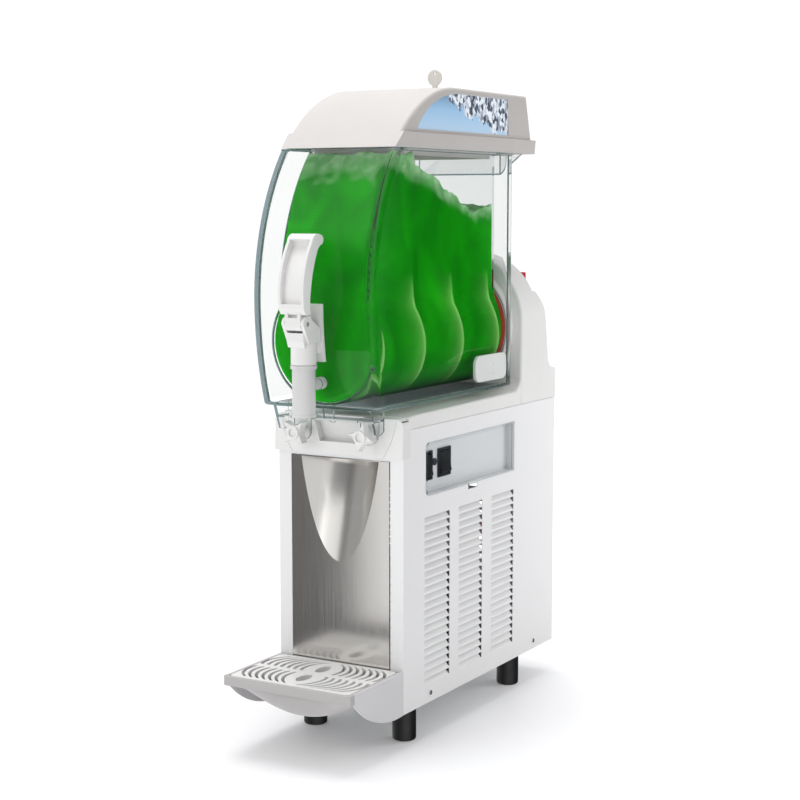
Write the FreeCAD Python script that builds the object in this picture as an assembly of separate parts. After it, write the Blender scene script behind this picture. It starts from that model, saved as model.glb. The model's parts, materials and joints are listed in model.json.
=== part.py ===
import FreeCAD, Part
import math
import os

# Single-bowl slushie machine, in millimetres. +Z is up, the front faces -Y, and x = 0 is the middle.
# Depths are measured back from the front frame, and put() moves every piece into the part's own frame,
# whose origin is the middle of the footprint at floor height.

# Driving dimensions
TRAY_FRONT = -132.0
REAR_END = 459.0
CASE_HALF = 97.0
CHIN_HALF = 100.0
SHEET = 1.0
FOOT_HEIGHT = 48.5
FOOT_RADIUS = 16.25
FOOT_X = 71.0
FOOT_DEPTHS = (46.6, 356.0)
PANEL_TOP = 424.5
PANEL_REAR = 456.5
DECK_LOW = 425.0
CHIN_TOP = 439.8
CHIN_LOW = 388.0
FRAME_TOP = 387.8
COLUMN_FRONT = 343.0
COLUMN_REAR = 394.0
ARCH_Z = 547.0
AXIS_Z = 538.0
BOWL_HALF = 90.5
BOWL_LOW = 453.0
BOWL_TOP = 784.5
BOWL_REAR = 323.5
CREST_Z = 592.0
CREST_DEPTH = -68.0
UPPER_SWEEP = 320.0
LOWER_SWEEP = 450.0
INNER_INSET = 27.0
INNER_HALF = 70.0
CHAMBER_RADIUS = 81.5
WALL = 3.0
LID_LOW = 788.0
LID_STEP = 808.0
LID_TOP = 871.0
LID_HALF = 86.0
DRUM_RADIUS = 52.0
DRUM_FRONT = 60.0
DRUM_REAR = 308.0
TAP_DEPTH = -85.0
PIVOT_DEPTH = -101.0
PIVOT_Z = 566.0
PORT_Z = 486.5
SPOUT_Z = 447.0
KNOB_X = 51.6
KNOB_Z = 417.0
TRAY_TOP = 107.0
LOUVRE_COLUMNS = ((55.6, 125.6), (151.5, 221.5), (249.7, 319.7))
LOUVRE_ROWS = 22
LOUVRE_PITCH = 10.47
LOUVRE_LOW = 75.0
LOUVRE_HEIGHT = 7.6
LOUVRE_LEAN = 4.6
LOUVRE_END_GAP = 3.2
WINDOW_DEPTH = (59.7, 319.4)
WINDOW_Z = (331.0, 402.0)
HINGE_X = 96.9
HINGE_Z = 401.0
ROCKER_DEPTHS = ((63.0, 93.0), (112.0, 144.0))
ROCKER_X = 85.5
ROCKER_PIVOT = (82.0, 368.0)
LAMP_DEPTH = 102.0
LAMP_Z = 371.0
ADJUSTER_X = 70.0
ADJUSTER_DEPTH = 399.2
SEAL_HEIGHTS = ((480.5, 483.0), (493.0, 495.5))
AUGER_PITCH = 107.0
AUGER_START = 22.0
AUGER_LENGTH = 278.0
AUGER_RADII = (54.0, 77.0)
AUGER_TURN = 150.0
GEAR_MODULE = 1.5
GEAR_TEETH = 40
PINION_TEETH = 10
GEAR_DEPTH = (360.0, 370.0)
PINION_Z = AXIS_Z - GEAR_MODULE * (GEAR_TEETH + PINION_TEETH) / 2
FAN_Z = 160.0
KEY_DEPTH = 255.0
LID_FRONT = ((-4.0, LID_LOW), (18.0, 810.0), (50.0, 836.0), (98.0, 860.0), (155.0, LID_TOP))
WINDOW_PANE = ((55.0, 812.5), (67.0, 827.0), (88.0, 842.0), (128.0, 857.5), (168.0, 862.5), (314.0, 862.5),
               (317.5, 812.5))

SHIFT = FreeCAD.Vector(0, -(TRAY_FRONT + REAR_END) / 2, 0)
V = FreeCAD.Vector
X_AXIS = V(1, 0, 0)
Y_AXIS = V(0, 1, 0)
Z_AXIS = V(0, 0, 1)


# Building blocks

def box(x, depth, z):
    size = (x[1] - x[0], depth[1] - depth[0], z[1] - z[0])
    return Part.makeBox(size[0], size[1], size[2], V(x[0], depth[0], z[0]))


def both(half, depth, z):
    return box((-half, half), depth, z)


def rod_x(radius, x, depth, z):
    return Part.makeCylinder(radius, x[1] - x[0], V(x[0], depth, z), X_AXIS)


def rod_y(radius, x, depth, z):
    return Part.makeCylinder(radius, depth[1] - depth[0], V(x, depth[0], z), Y_AXIS)


def rod_z(radius, x, depth, z):
    return Part.makeCylinder(radius, z[1] - z[0], V(x, depth, z[0]), Z_AXIS)


def loop(points):
    """A closed wire. A point with a third entry of "arc" is the middle of an arc between its neighbours."""
    corners = [p for p in points]
    edges = []
    count = len(corners)
    index = 0
    while index < count:
        start = corners[index][0]
        after = corners[(index + 1) % count]
        if after[1] == "arc":
            end = corners[(index + 2) % count][0]
            edges.append(Part.Arc(start, after[0], end).toShape())
            index += 2
        else:
            edges.append(Part.makeLine(start, after[0]))
            index += 1
    return Part.Wire(edges)


def prism(points, start, push):
    """Extrude a closed outline whose points are made into vectors by start."""
    wire = loop([(start(p[0], p[1]), p[2] if len(p) > 2 else "") for p in points])
    return Part.Face(wire).extrude(push)


def side_prism(points, x):
    return prism(points, lambda depth, z: V(x[0], depth, z), V(x[1] - x[0], 0, 0))


def front_prism(points, depth):
    return prism(points, lambda x, z: V(x, depth[0], z), V(0, depth[1] - depth[0], 0))


def plan_prism(points, z):
    return prism(points, lambda x, depth: V(x, depth, z[0]), V(0, 0, z[1] - z[0]))


def mirrored(shape):
    return shape.mirror(V(0, 0, 0), X_AXIS)


def fuse_all(shapes):
    result = shapes[0]
    if len(shapes) > 1:
        result = result.multiFuse(shapes[1:])
    return result.removeSplitter()


def cut_all(shape, tools):
    return shape.cut(Part.makeCompound(tools))


def rounded(shape, radius, wanted):
    """Fillet the edges whose middle point and direction satisfy wanted(middle, direction)."""
    chosen = []
    for edge in shape.Edges:
        low, high = edge.ParameterRange
        middle = edge.valueAt((low + high) / 2)
        direction = edge.tangentAt((low + high) / 2)
        if wanted(middle, direction):
            chosen.append(edge)
    return shape.makeFillet(radius, chosen)


def along(direction, axis):
    return abs(direction.dot(axis)) > 0.999


def put(name, shape):
    piece = shape.copy()
    piece.translate(SHIFT)
    piece.exportStep("parts/" + name + ".step")
    if not piece.isValid():
        print("not valid:", name)


# Case

def feet():
    pieces = []
    for x in (-FOOT_X, FOOT_X):
        for depth in FOOT_DEPTHS:
            pad = rod_z(FOOT_RADIUS, x, depth, (0, FOOT_HEIGHT))
            pad = rounded(pad, 3.5, lambda middle, direction: middle.z < 0.1)
            pieces.append(pad.fuse(rod_z(4.0, x, depth, (FOOT_HEIGHT, 60.0))))
    return Part.makeCompound(pieces)


def base_pan():
    pan = both(CASE_HALF - SHEET, (1.2, 455.5), (FOOT_HEIGHT, 62.0))
    hollow = both(CASE_HALF - 2 * SHEET, (2.4, 454.3), (FOOT_HEIGHT + 1.2, 63.0))
    holes = []
    for x in (-FOOT_X, FOOT_X):
        for depth in FOOT_DEPTHS:
            holes.append(rod_z(4.3, x, depth, (40.0, 70.0)))
    return cut_all(pan, [hollow] + holes)


def front_frame():
    post = box((77.0, 96.0), (0.0, 1.2), (FOOT_HEIGHT, FRAME_TOP))
    post = post.fuse(box((77.0, 78.2), (0.0, 14.0), (62.2, FRAME_TOP)))
    low_rail = both(77.0, (0.0, 1.2), (FOOT_HEIGHT, 104.0))
    high_rail = both(77.0, (0.0, 1.2), (383.3, FRAME_TOP))
    return fuse_all([post, mirrored(post), low_rail, high_rail])


def splash_panel():
    """Brushed sheet with a scoop for the cup: part of a cylinder that leans back as it rises."""
    radius = 70.0
    lean = 14.35
    entry_z = 526.2
    plate = both(76.0, (-SHEET, 0.0), (106.0, 383.0))

    def leaning(size):
        barrel = Part.makeCylinder(size, 560.0, V(0, 0, -460.0), Z_AXIS)
        barrel.rotate(V(0, 0, 0), X_AXIS, -lean)
        barrel.translate(V(0, -SHEET, entry_z))
        return barrel

    room = both(76.0, (-SHEET, 70.0), (106.0, 383.0))
    scoop = leaning(radius + SHEET).cut(leaning(radius)).common(room)
    roof = leaning(radius + SHEET).common(both(76.0, (-SHEET, 70.0), (382.0, 383.0)))
    return fuse_all([plate.cut(leaning(radius)), scoop, roof])


def louvres():
    """The openings of one side, and the slats, each joined at its foot and leaning into the case."""
    holes = []
    slats = []
    outer = CASE_HALF
    for column in LOUVRE_COLUMNS:
        for row in range(LOUVRE_ROWS):
            foot = LOUVRE_LOW + row * LOUVRE_PITCH
            head = foot + LOUVRE_HEIGHT
            holes.append(box((outer - 2, outer + 1), column, (foot, head)))
            outline = [(outer, foot - 0.6), (outer, foot), (outer - LOUVRE_LEAN, head - 0.5),
                       (outer - LOUVRE_LEAN - 0.8, head - 0.5), (outer - SHEET, foot - 0.6)]
            slats.append(front_prism(outline, (column[0] + 0.3, column[1] - LOUVRE_END_GAP)))
    return holes, slats


def window_blank(grow, x):
    """A block with the window's rounded outline, made larger all round by grow."""
    block = box(x, (WINDOW_DEPTH[0] - grow, WINDOW_DEPTH[1] + grow), (WINDOW_Z[0] - grow, WINDOW_Z[1] + grow))
    return rounded(block, 8.0 + grow, lambda middle, direction: along(direction, X_AXIS) and middle.y < 100)


def side_panel(windowed):
    panel = box((CASE_HALF - SHEET, CASE_HALF), (0.0, PANEL_REAR), (FOOT_HEIGHT, PANEL_TOP))
    panel = panel.cut(box((90.0, 100.0), (-1.0, 13.2), (FRAME_TOP, PANEL_TOP + 1)))
    holes, slats = louvres()
    if windowed:
        holes.append(window_blank(1.0, (CASE_HALF - 3, CASE_HALF + 3)))
        holes.append(box((CASE_HALF - 3, CASE_HALF + 3), (178.5, 205.5), (323.0, 331.0)))
    panel = cut_all(panel, holes)
    return panel.multiFuse(slats)


def rear_panel():
    panel = both(CASE_HALF - SHEET, (PANEL_REAR - SHEET, PANEL_REAR), (FOOT_HEIGHT, PANEL_TOP))
    slots = [box((-70.0, 70.0), (450.0, 460.0), (150.0 + 14.0 * row, 155.0 + 14.0 * row)) for row in range(15)]
    inlet = box((-64.0, -36.0), (450.0, 460.0), (72.0, 94.0))
    return cut_all(panel, slots + [inlet])


def top_deck():
    outline = [(13.2, DECK_LOW), (13.2, 440.6), (42.0, 442.2), (318.0, 444.8), (334.0, 450.3, "arc"),
               (COLUMN_FRONT, 463.0), (COLUMN_FRONT, DECK_LOW)]
    deck = side_prism(outline, (-CASE_HALF, CASE_HALF))
    hollow = both(CASE_HALF - 2.5, (15.8, 340.5), (DECK_LOW - 1.0, 438.0))
    seat = rod_y(84.3, 0.0, (323.0, 344.0), AXIS_Z)
    deck = rounded(deck, 3.0, lambda middle, direction: abs(middle.x) > 96 and 440 < middle.z < 446)
    return cut_all(deck, [hollow, seat])


def chin_block(inset):
    """The front housing's outer form, with its upper corners rounded and its face leaning back."""
    half = CHIN_HALF
    corner = 12.0
    shoulder = corner * (1 - math.sqrt(0.5))
    outline = [(-half, CHIN_LOW), (half, CHIN_LOW), (half, CHIN_TOP - corner),
               (half - shoulder, CHIN_TOP - shoulder, "arc"), (half - corner, CHIN_TOP),
               (-half + corner, CHIN_TOP), (-half + shoulder, CHIN_TOP - shoulder, "arc"),
               (-half, CHIN_TOP - corner)]
    block = front_prism(outline, (-7.0 + inset, 13.0))
    lean = side_prism([(-8.0, 391.0), (-7.0 + inset, 391.0), (-4.0 + inset, CHIN_TOP + 1), (-8.0, CHIN_TOP + 1)],
                      (-half - 1, half + 1))
    return block.cut(lean)


def front_housing():
    outer = chin_block(0.0)
    outer = rounded(outer, 1.6, lambda middle, direction: middle.y < -3.9 and middle.z > 389)
    hollow = both(CASE_HALF, (-3.0, 20.0), (CHIN_LOW + 2.6, CHIN_TOP - 2.6))
    niche_wall = front_prism([(-31.0, 401.0), (31.0, 401.0), (43.0, 438.0), (-43.0, 438.0)], (-3.0, 9.0))
    niche = front_prism([(-28.0, 404.5), (28.0, 404.5), (40.0, 445.0), (-40.0, 445.0)], (-10.0, 6.0))
    shell = outer.cut(hollow).fuse(niche_wall.common(both(CASE_HALF, (-5.0, 13.0), (CHIN_LOW, CHIN_TOP))))
    shell = shell.cut(niche)
    skin = chin_block(0.0).cut(chin_block(0.8))
    seam = front_prism([(89.0, 437.0), (82.6, 410.0, "arc"), (69.0, 386.0), (68.0, 386.0),
                        (81.6, 410.5, "arc"), (88.0, 437.0)], (-9.0, 0.0)).common(skin)
    bosses = []
    for x in (-KNOB_X, KNOB_X):
        bosses.append(rod_y(13.0, x, (-7.6, -3.0), KNOB_Z))
    shell = fuse_all([cut_all(shell, [seam, mirrored(seam)])] + bosses)
    holes = [rod_y(4.3, x, (-12.0, 20.0), KNOB_Z) for x in (-KNOB_X, KNOB_X)]
    return cut_all(shell, holes)


def arch(radius, low, depth):
    """A block with upright sides and a half-round top."""
    outline = [(-radius, low), (radius, low), (radius, ARCH_Z), (0.0, ARCH_Z + radius, "arc"), (-radius, ARCH_Z)]
    return front_prism(outline, depth)


def column_shell():
    shell = arch(CASE_HALF, DECK_LOW, (COLUMN_FRONT, COLUMN_REAR))
    shell = rounded(shell, 4.0, lambda middle, direction: middle.y < COLUMN_FRONT + 1 and middle.z > 520)
    hollow = arch(CASE_HALF - WALL, DECK_LOW - 1, (COLUMN_FRONT + WALL, COLUMN_REAR - WALL))
    way_back = both(80.0, (COLUMN_REAR - 5, COLUMN_REAR + 1), (DECK_LOW - 1, 580.0))
    bore = rod_y(24.0, 0.0, (330.0, 350.0), AXIS_Z)
    return cut_all(shell, [hollow, way_back, bore, pipe_way()])


def pipe_way():
    """The opening through which the refrigerant pipes reach the drum."""
    return box((44.0, 60.0), (340.0, 350.0), (AXIS_Z - 6.0, AXIS_Z + 6.0))


def drum_flange():
    disc = rod_y(84.0, 0.0, (324.5, COLUMN_FRONT), AXIS_Z)
    disc = rounded(disc, 2.0, lambda middle, direction: middle.y < 325)
    spigot = rod_y(70.0, 0.0, (DRUM_REAR, 324.5), AXIS_Z)
    groove = rod_y(71.0, 0.0, (310.0, 322.0), AXIS_Z).cut(rod_y(67.0, 0.0, (310.0, 322.0), AXIS_Z))
    hollow = rod_y(60.0, 0.0, (314.0, COLUMN_FRONT + 1), AXIS_Z)
    bore = rod_y(24.0, 0.0, (300.0, 320.0), AXIS_Z)
    return cut_all(disc.fuse(spigot), [groove, hollow, bore])


def drum_gasket():
    ring = rod_y(78.2, 0.0, (310.0, 322.0), AXIS_Z).cut(rod_y(67.0, 0.0, (309.0, 323.0), AXIS_Z))
    return rounded(ring, 2.5, lambda middle, direction: (middle - V(0, middle.y, AXIS_Z)).Length > 75)


def bulkhead():
    """Steel plate behind the column's face that carries the drum and the gear unit."""
    plate = arch(90.0, 62.5, (346.0, 348.5)).cut(both(91.0, (340.0, 350.0), (600.0, 660.0)))
    foot = both(90.0, (346.0, 372.0), (62.0, 64.0))
    bore = rod_y(24.0, 0.0, (340.0, 350.0), AXIS_Z)
    relief = both(60.0, (340.0, 350.0), (90.0, 330.0))
    return cut_all(plate.fuse(foot), [bore, relief, pipe_way()])


def rear_cover():
    outline = [(COLUMN_REAR, DECK_LOW), (COLUMN_REAR, 587.0), (404.0, 587.0), (420.0, 563.0), (433.0, 483.0),
               (441.5, 473.5, "arc"), (REAR_END, 470.0), (REAR_END, DECK_LOW)]
    inside = [(COLUMN_REAR - 1, DECK_LOW - 1), (COLUMN_REAR - 1, 584.5), (402.6, 584.5), (417.4, 562.0),
              (430.6, 482.0), (441.5, 470.6, "arc"), (REAR_END - 2.5, 467.5), (REAR_END - 2.5, DECK_LOW - 1)]
    shell = side_prism(outline, (-CASE_HALF, CASE_HALF)).common(arch(CASE_HALF, 400.0, (390.0, 460.0)))
    hollow = side_prism(inside, (-94.5, 94.5)).common(arch(94.5, 400.0, (390.0, 460.0)))
    stick_hole = rod_z(4.8, ADJUSTER_X, ADJUSTER_DEPTH, (570.0, 600.0))
    return cut_all(shell, [hollow, stick_hole])


def density_adjuster():
    stick = rod_z(4.5, ADJUSTER_X, ADJUSTER_DEPTH, (556.0, 615.0))
    stick = rounded(stick, 1.2, lambda middle, direction: middle.z > 614)
    slot = box((ADJUSTER_X - 0.6, ADJUSTER_X + 0.6), (390.0, 410.0), (613.0, 616.0))
    return stick.cut(slot)


def screws():
    """Case screws on both sides, bracket screws on the rear panel, and the nuts of the feet."""
    pieces = []
    for side in (-1, 1):
        for depth in (72.0, 389.0):
            head = rod_x(3.2, (0.0, 1.6), depth, 61.0)
            head = rounded(head, 0.8, lambda middle, direction: middle.x > 1.5)
            head = head.cut(box((0.9, 2.0), (depth - 0.4, depth + 0.4), (58.6, 63.4)))
            head = head.cut(box((0.9, 2.0), (depth - 2.4, depth + 2.4), (60.6, 61.4)))
            head.translate(V(CASE_HALF, 0, 0))
            if side < 0:
                head.rotate(V(0, depth, 0), Z_AXIS, 180.0)
            pieces.append(head)
    for x in (-88.0, 88.0):
        for z in (70.0, 240.0, 410.0):
            pieces.append(rod_y(3.2, x, (PANEL_REAR, PANEL_REAR + 1.6), z))
    for x in (-FOOT_X, FOOT_X):
        for depth in FOOT_DEPTHS:
            corners = [(x + 7.5 * math.cos(math.radians(60 * n)), depth + 7.5 * math.sin(math.radians(60 * n)))
                       for n in range(6)]
            nut = plan_prism(corners, (FOOT_HEIGHT + 1.2, FOOT_HEIGHT + 6.2))
            pieces.append(nut.cut(rod_z(4.1, x, depth, (40.0, 70.0))))
    return Part.makeCompound(pieces)


def power_inlet():
    body = box((-63.5, -36.5), (440.0, PANEL_REAR + 2.0), (72.5, 93.5))
    face = box((-70.0, -30.0), (PANEL_REAR, PANEL_REAR + 2.0), (68.0, 98.0))
    socket = box((-61.5, -38.5), (444.0, 460.0), (75.0, 91.0))
    pins = [box((x - 0.75, x + 0.75), (443.0, 455.0), (81.0, 85.0)) for x in (-57.0, -50.0, -43.0)]
    return fuse_all([body.fuse(face).cut(socket)] + pins)


# Drip tray

def tray_bracket():
    cheek = side_prism([(-122.0, TRAY_TOP), (-122.0, 92.0), (-78.0, 61.0, "arc"), (0.0, 48.0), (0.0, TRAY_TOP)],
                       (94.6, CASE_HALF))
    cheek = rounded(cheek, 0.8, lambda middle, direction: middle.x > 96.9 and middle.y < -1)
    back = both(94.6, (-3.0, 0.0), (62.0, 104.0))
    ledge = box((88.5, 94.6), (-116.0, -3.0), (90.5, 93.0))
    return fuse_all([cheek, mirrored(cheek), back, ledge, mirrored(ledge)])


def basin(half, trim, stations):
    """A trough with round cross-sections, lofted through pairs of a depth and the fall of its middle."""
    wires = []
    for depth, fall in stations:
        points = [(V(-half, depth, 94.0), ""), (V(0, depth, 94.0 - fall + trim), "arc"), (V(half, depth, 94.0), "")]
        wires.append(loop(points))
    return Part.makeLoft(wires, True, False)


def drip_tray():
    rim = both(94.2, (-123.0, -3.4), (94.0, TRAY_TOP))
    bar = both(97.5, (TRAY_FRONT, -122.4), (94.0, TRAY_TOP))
    bar = rounded(bar, 2.5, lambda middle, direction: middle.y < TRAY_FRONT + 1 and along(direction, Z_AXIS))
    bar = rounded(bar, 0.8, lambda middle, direction: middle.y < TRAY_FRONT + 1 and along(direction, X_AXIS))
    belly = basin(86.0, 0.0, ((-126.0, 3.0), (-109.0, 28.0), (-70.0, 38.0), (-5.0, 40.0)))
    room = basin(83.5, 2.2, ((-122.5, 4.5), (-107.0, 26.5), (-70.0, 37.0), (-7.5, 39.0)))
    well = both(84.0, (-120.0, -8.0), (93.0, TRAY_TOP + 1))
    seat = both(91.3, (-128.3, -5.8), (103.3, TRAY_TOP + 1))
    return cut_all(fuse_all([rim, bar, belly]), [room, well, seat])


def grid_slot(x, front, side):
    """One curved slot: it bows away from the middle, and its end nearer the middle of the tray is outermost."""
    width = 5.2
    near = -70.5 if front else -60.5
    far = -121.0 if front else -11.0
    bow = -98.0 if front else -33.5
    outline = [(x, near), (x - 1.0, bow, "arc"), (x + 16.5, far), (x + 16.5 + width, far),
               (x - 1.0 + width, bow, "arc"), (x + width, near)]
    slot = plan_prism([(side * -p[0],) + tuple(p[1:]) for p in outline], (95.0, 110.0))
    return rounded(slot, 1.5, lambda middle, direction: along(direction, Z_AXIS))


def drip_grid():
    plate = both(91.0, (-128.0, -6.1), (103.5, TRAY_TOP))
    plate = rounded(plate, 6.0, lambda middle, direction: along(direction, Z_AXIS))
    plate = plate.fuse(both(83.2, (-119.2, -8.8), (97.0, 104.0)))
    tools = []
    for side in (-1, 1):
        for front in (True, False):
            for row in range(7):
                tools.append(grid_slot(-89.0 + 10.4 * row, front, side))
    for depth in (-43.0, -89.0):
        oval = Part.Ellipse(V(0, depth, 95.0), 16.0, 8.0).toShape()
        hole = Part.Face(Part.Wire([oval])).extrude(V(0, 0, 15))
        hole.rotate(V(0, depth, 0), Z_AXIS, 90.0)
        tools.append(hole)
    return cut_all(plate, tools)


# Bowl

def front_points(inset, low, high):
    """Points of the bowl's bowed front between two heights, moved inwards by inset."""
    def lower(z):
        radius = LOWER_SWEEP - inset
        return CREST_DEPTH + LOWER_SWEEP - math.sqrt(radius ** 2 - (z - CREST_Z) ** 2)

    def upper(z):
        radius = UPPER_SWEEP - inset
        return CREST_DEPTH + UPPER_SWEEP - math.sqrt(radius ** 2 - (z - CREST_Z) ** 2)

    points = []
    if low < CREST_Z:
        middle = (low + min(CREST_Z, high)) / 2
        points += [(lower(low), low), (lower(middle), middle, "arc")]
        if high <= CREST_Z:
            return points + [(lower(high), high)]
        points += [(lower(CREST_Z), CREST_Z)]
        low = CREST_Z
    else:
        points += [(upper(low), low)]
    middle = (low + high) / 2
    return points + [(upper(middle), middle, "arc"), (upper(high), high)]


def bowl_block(inset, half, low, high, rear):
    outline = front_points(inset, low, high) + [(rear, high), (rear, low)]
    return side_prism(outline, (-half, half))


def bowl_corners(shape, half, low, rear, upright_radius, foot_radius):
    """Round the upright corners at the front and rear, then the lower edges along the sides."""
    def on_side(middle):
        return abs(abs(middle.x) - half) < 0.1

    def upright(middle, direction):
        return on_side(middle) and (middle.y < 60 or abs(middle.y - rear) < 0.1) and middle.z > low + 0.1

    def foot(middle, direction):
        return on_side(middle) and abs(middle.z - low) < 0.1

    return rounded(rounded(shape, upright_radius, upright), foot_radius, foot)


def bowl_outer():
    shell = bowl_block(0.0, BOWL_HALF, BOWL_LOW, BOWL_TOP, BOWL_REAR)
    shell = bowl_corners(shell, BOWL_HALF, BOWL_LOW, BOWL_REAR, 6.0, 5.0)
    room_half = BOWL_HALF - WALL
    room = bowl_block(WALL, room_half, BOWL_LOW + WALL, BOWL_TOP + 1, BOWL_REAR - WALL)
    room = bowl_corners(room, room_half, BOWL_LOW + WALL, BOWL_REAR - WALL, 13.0, 5.0)
    collar_hole = rod_y(CHAMBER_RADIUS + 0.05, 0.0, (300.0, 330.0), AXIS_Z)
    port_hole = rod_y(8.05, 0.0, (-70.0, -40.0), PORT_Z)
    shell = cut_all(shell, [room, collar_hole])
    slope = side_prism([(-45.0, 455.0), (-38.0, 437.0), (-35.0, 437.0), (-41.5, 455.0)], (-75.0, 75.0))
    shelf = both(75.0, (-37.5, -11.5), (437.0, 440.0))
    ear = side_prism([(-44.0, 455.0), (-32.0, 422.0), (-24.0, 420.0, "arc"), (-11.5, 425.0), (-11.5, 455.0)],
                     (72.0, 75.0))
    rib = side_prism([(-40.0, 455.0), (-16.0, 455.0), (-13.0, 432.0), (-18.0, 432.0), (-37.0, 440.0)], (-1.5, 1.5))
    lugs = []
    for x in (-KNOB_X, KNOB_X):
        lug = rod_y(13.0, x, (-11.5, -8.5), KNOB_Z).fuse(box((x - 13, x + 13), (-11.5, -8.5), (KNOB_Z, 440.0)))
        lugs.append(lug)
    shell = fuse_all([shell, slope, shelf, ear, mirrored(ear), rib] + lugs)
    holes = [rod_y(4.35, x, (-20.0, 0.0), KNOB_Z) for x in (-KNOB_X, KNOB_X)]
    return cut_all(shell, holes + [port_hole])


def bowl_inner():
    """The vessel: a round chamber for the auger below, a narrow tank above, and a flange onto the outer rim."""
    upper_low = AXIS_Z + 20.0
    tank = bowl_block(INNER_INSET, INNER_HALF, upper_low, BOWL_TOP, 301.0)
    tank = rounded(tank, 10.0, lambda middle, direction: abs(middle.x) > INNER_HALF - 0.1 and middle.y < 60
                   and middle.z > upper_low)
    chamber = rod_y(CHAMBER_RADIUS, 0.0, (-42.0, BOWL_REAR), AXIS_Z)
    chamber = rounded(chamber, 8.0, lambda middle, direction: middle.y < -40)
    flange = both(BOWL_HALF, (front_points(0.0, 700.0, 787.4)[-1][0] + 3.0, BOWL_REAR), (BOWL_TOP, 787.4))
    outer = fuse_all([tank, chamber, flange])
    room = bowl_block(INNER_INSET + WALL, INNER_HALF - WALL, upper_low, BOWL_TOP + 5, 298.0)
    room = rounded(room, 7.0, lambda middle, direction: abs(middle.x) > INNER_HALF - WALL - 0.1
                   and middle.y < 60 and middle.z > upper_low)
    bore = rod_y(CHAMBER_RADIUS - WALL, 0.0, (-39.0, BOWL_REAR + 1), AXIS_Z)
    bore = rounded(bore, 5.0, lambda middle, direction: middle.y < -38)
    port = rod_y(5.0, 0.0, (-50.0, -30.0), PORT_Z)
    return cut_all(outer, [room, bore, port])


def desiccant_cartridge():
    block = box((83.4, 87.3), (214.0, 310.0), (467.0, 504.0))
    block = rounded(block, 13.0, lambda middle, direction: along(direction, X_AXIS))
    dimples = [rod_x(1.2, (86.6, 88.0), 268.0, z) for z in (476.0, 490.0)]
    return cut_all(block, dimples)


# Freezing drum and auger

def evaporator_drum():
    drum = rod_y(DRUM_RADIUS, 0.0, (DRUM_FRONT, DRUM_REAR), AXIS_Z)
    drum = rounded(drum, 4.0, lambda middle, direction: middle.y < DRUM_FRONT + 1)
    hollow = rod_y(DRUM_RADIUS - 1.5, 0.0, (DRUM_FRONT + 2.0, DRUM_REAR + 1), AXIS_Z)
    rim = rod_y(62.0, 0.0, (DRUM_REAR - 3.0, DRUM_REAR), AXIS_Z).cut(hollow)
    sleeve = rod_y(9.5, 0.0, (DRUM_FRONT, DRUM_REAR), AXIS_Z)
    bore = rod_y(6.05, 0.0, (DRUM_FRONT - 5, DRUM_REAR + 5), AXIS_Z)
    return fuse_all([drum.cut(hollow), rim, sleeve]).cut(bore)


def coil(radius, wire, pitch, height):
    """A round wire wound about Z, starting on +X at z = 0."""
    path = Part.Wire(Part.makeHelix(pitch, height, radius).Edges)
    ring = Part.makeCircle(wire, V(radius, 0, 0), Y_AXIS)
    return path.makePipeShell([Part.Wire([ring])], True, True)


def laid_along_y(shape, depth):
    piece = shape.copy()
    piece.rotate(V(0, 0, 0), X_AXIS, -90.0)
    piece.translate(V(0, depth, AXIS_Z))
    return piece


def shaft_seal():
    seal = rod_y(15.0, 0.0, (51.0, DRUM_FRONT), AXIS_Z)
    seal = rounded(seal, 5.0, lambda middle, direction: middle.y < 52)
    return seal.cut(rod_y(6.05, 0.0, (45.0, 65.0), AXIS_Z))


def auger():
    """A helical blade round the drum, with a nose across the front that the shaft turns."""
    inner, outer = AUGER_RADII
    path = Part.Wire(Part.makeHelix(AUGER_PITCH, AUGER_LENGTH, (inner + outer) / 2).Edges)
    corners = [V(inner, 0, -3.0), V(outer, 0, -3.0), V(outer, 0, 3.0), V(inner, 0, 3.0), V(inner, 0, -3.0)]
    blade = path.makePipeShell([Part.makePolygon(corners)], True, True)
    blade = laid_along_y(blade, AUGER_START)
    blade.rotate(V(0, 0, AXIS_Z), Y_AXIS, AUGER_TURN)
    hub = rod_y(16.0, 0.0, (22.0, 48.0), AXIS_Z)
    hub = rounded(hub, 7.0, lambda middle, direction: middle.y < 23)
    arms = []
    for turn in (AUGER_TURN, AUGER_TURN + 120.0, AUGER_TURN + 240.0):
        arm = box((10.0, 74.0), (30.0, 38.0), (AXIS_Z - 4.0, AXIS_Z + 4.0))
        arm.rotate(V(0, 0, AXIS_Z), Y_AXIS, turn)
        arms.append(arm)
    hoop = rod_y(76.0, 0.0, (30.0, 38.0), AXIS_Z).cut(rod_y(69.0, 0.0, (29.0, 39.0), AXIS_Z))
    bore = rod_y(6.0, 0.0, (28.0, 60.0), AXIS_Z)
    return fuse_all([blade, hub, hoop] + arms).cut(bore)


def drive_shaft():
    return rod_y(6.0, 0.0, (28.0, 384.0), AXIS_Z)


# Gear unit

def gear_blank(teeth, first_tooth, centre_z, depth):
    """A spur gear with straight-sided teeth, thinner than half the pitch so that a pair runs free."""
    pitch_radius = GEAR_MODULE * teeth / 2
    step = 2 * math.pi / teeth
    points = []
    for tooth in range(teeth):
        centre = math.radians(first_tooth) + tooth * step
        for swing, radius in ((-0.31, -1.3), (-0.13, 1.0), (0.13, 1.0), (0.31, -1.3)):
            reach = pitch_radius + radius * GEAR_MODULE
            angle = centre + swing * step
            points.append((reach * math.cos(angle), centre_z + reach * math.sin(angle)))
    return front_prism(points, depth)


def output_gear():
    gear = gear_blank(GEAR_TEETH, -90.0, AXIS_Z, GEAR_DEPTH)
    return gear.cut(rod_y(6.0, 0.0, (350.0, 380.0), AXIS_Z))


def motor_pinion():
    half_step = 180.0 / PINION_TEETH
    gear = gear_blank(PINION_TEETH, 90.0 + half_step, PINION_Z, (358.0, 372.0))
    return gear.fuse(rod_y(3.0, 0.0, (358.0, 396.0), PINION_Z))


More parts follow.
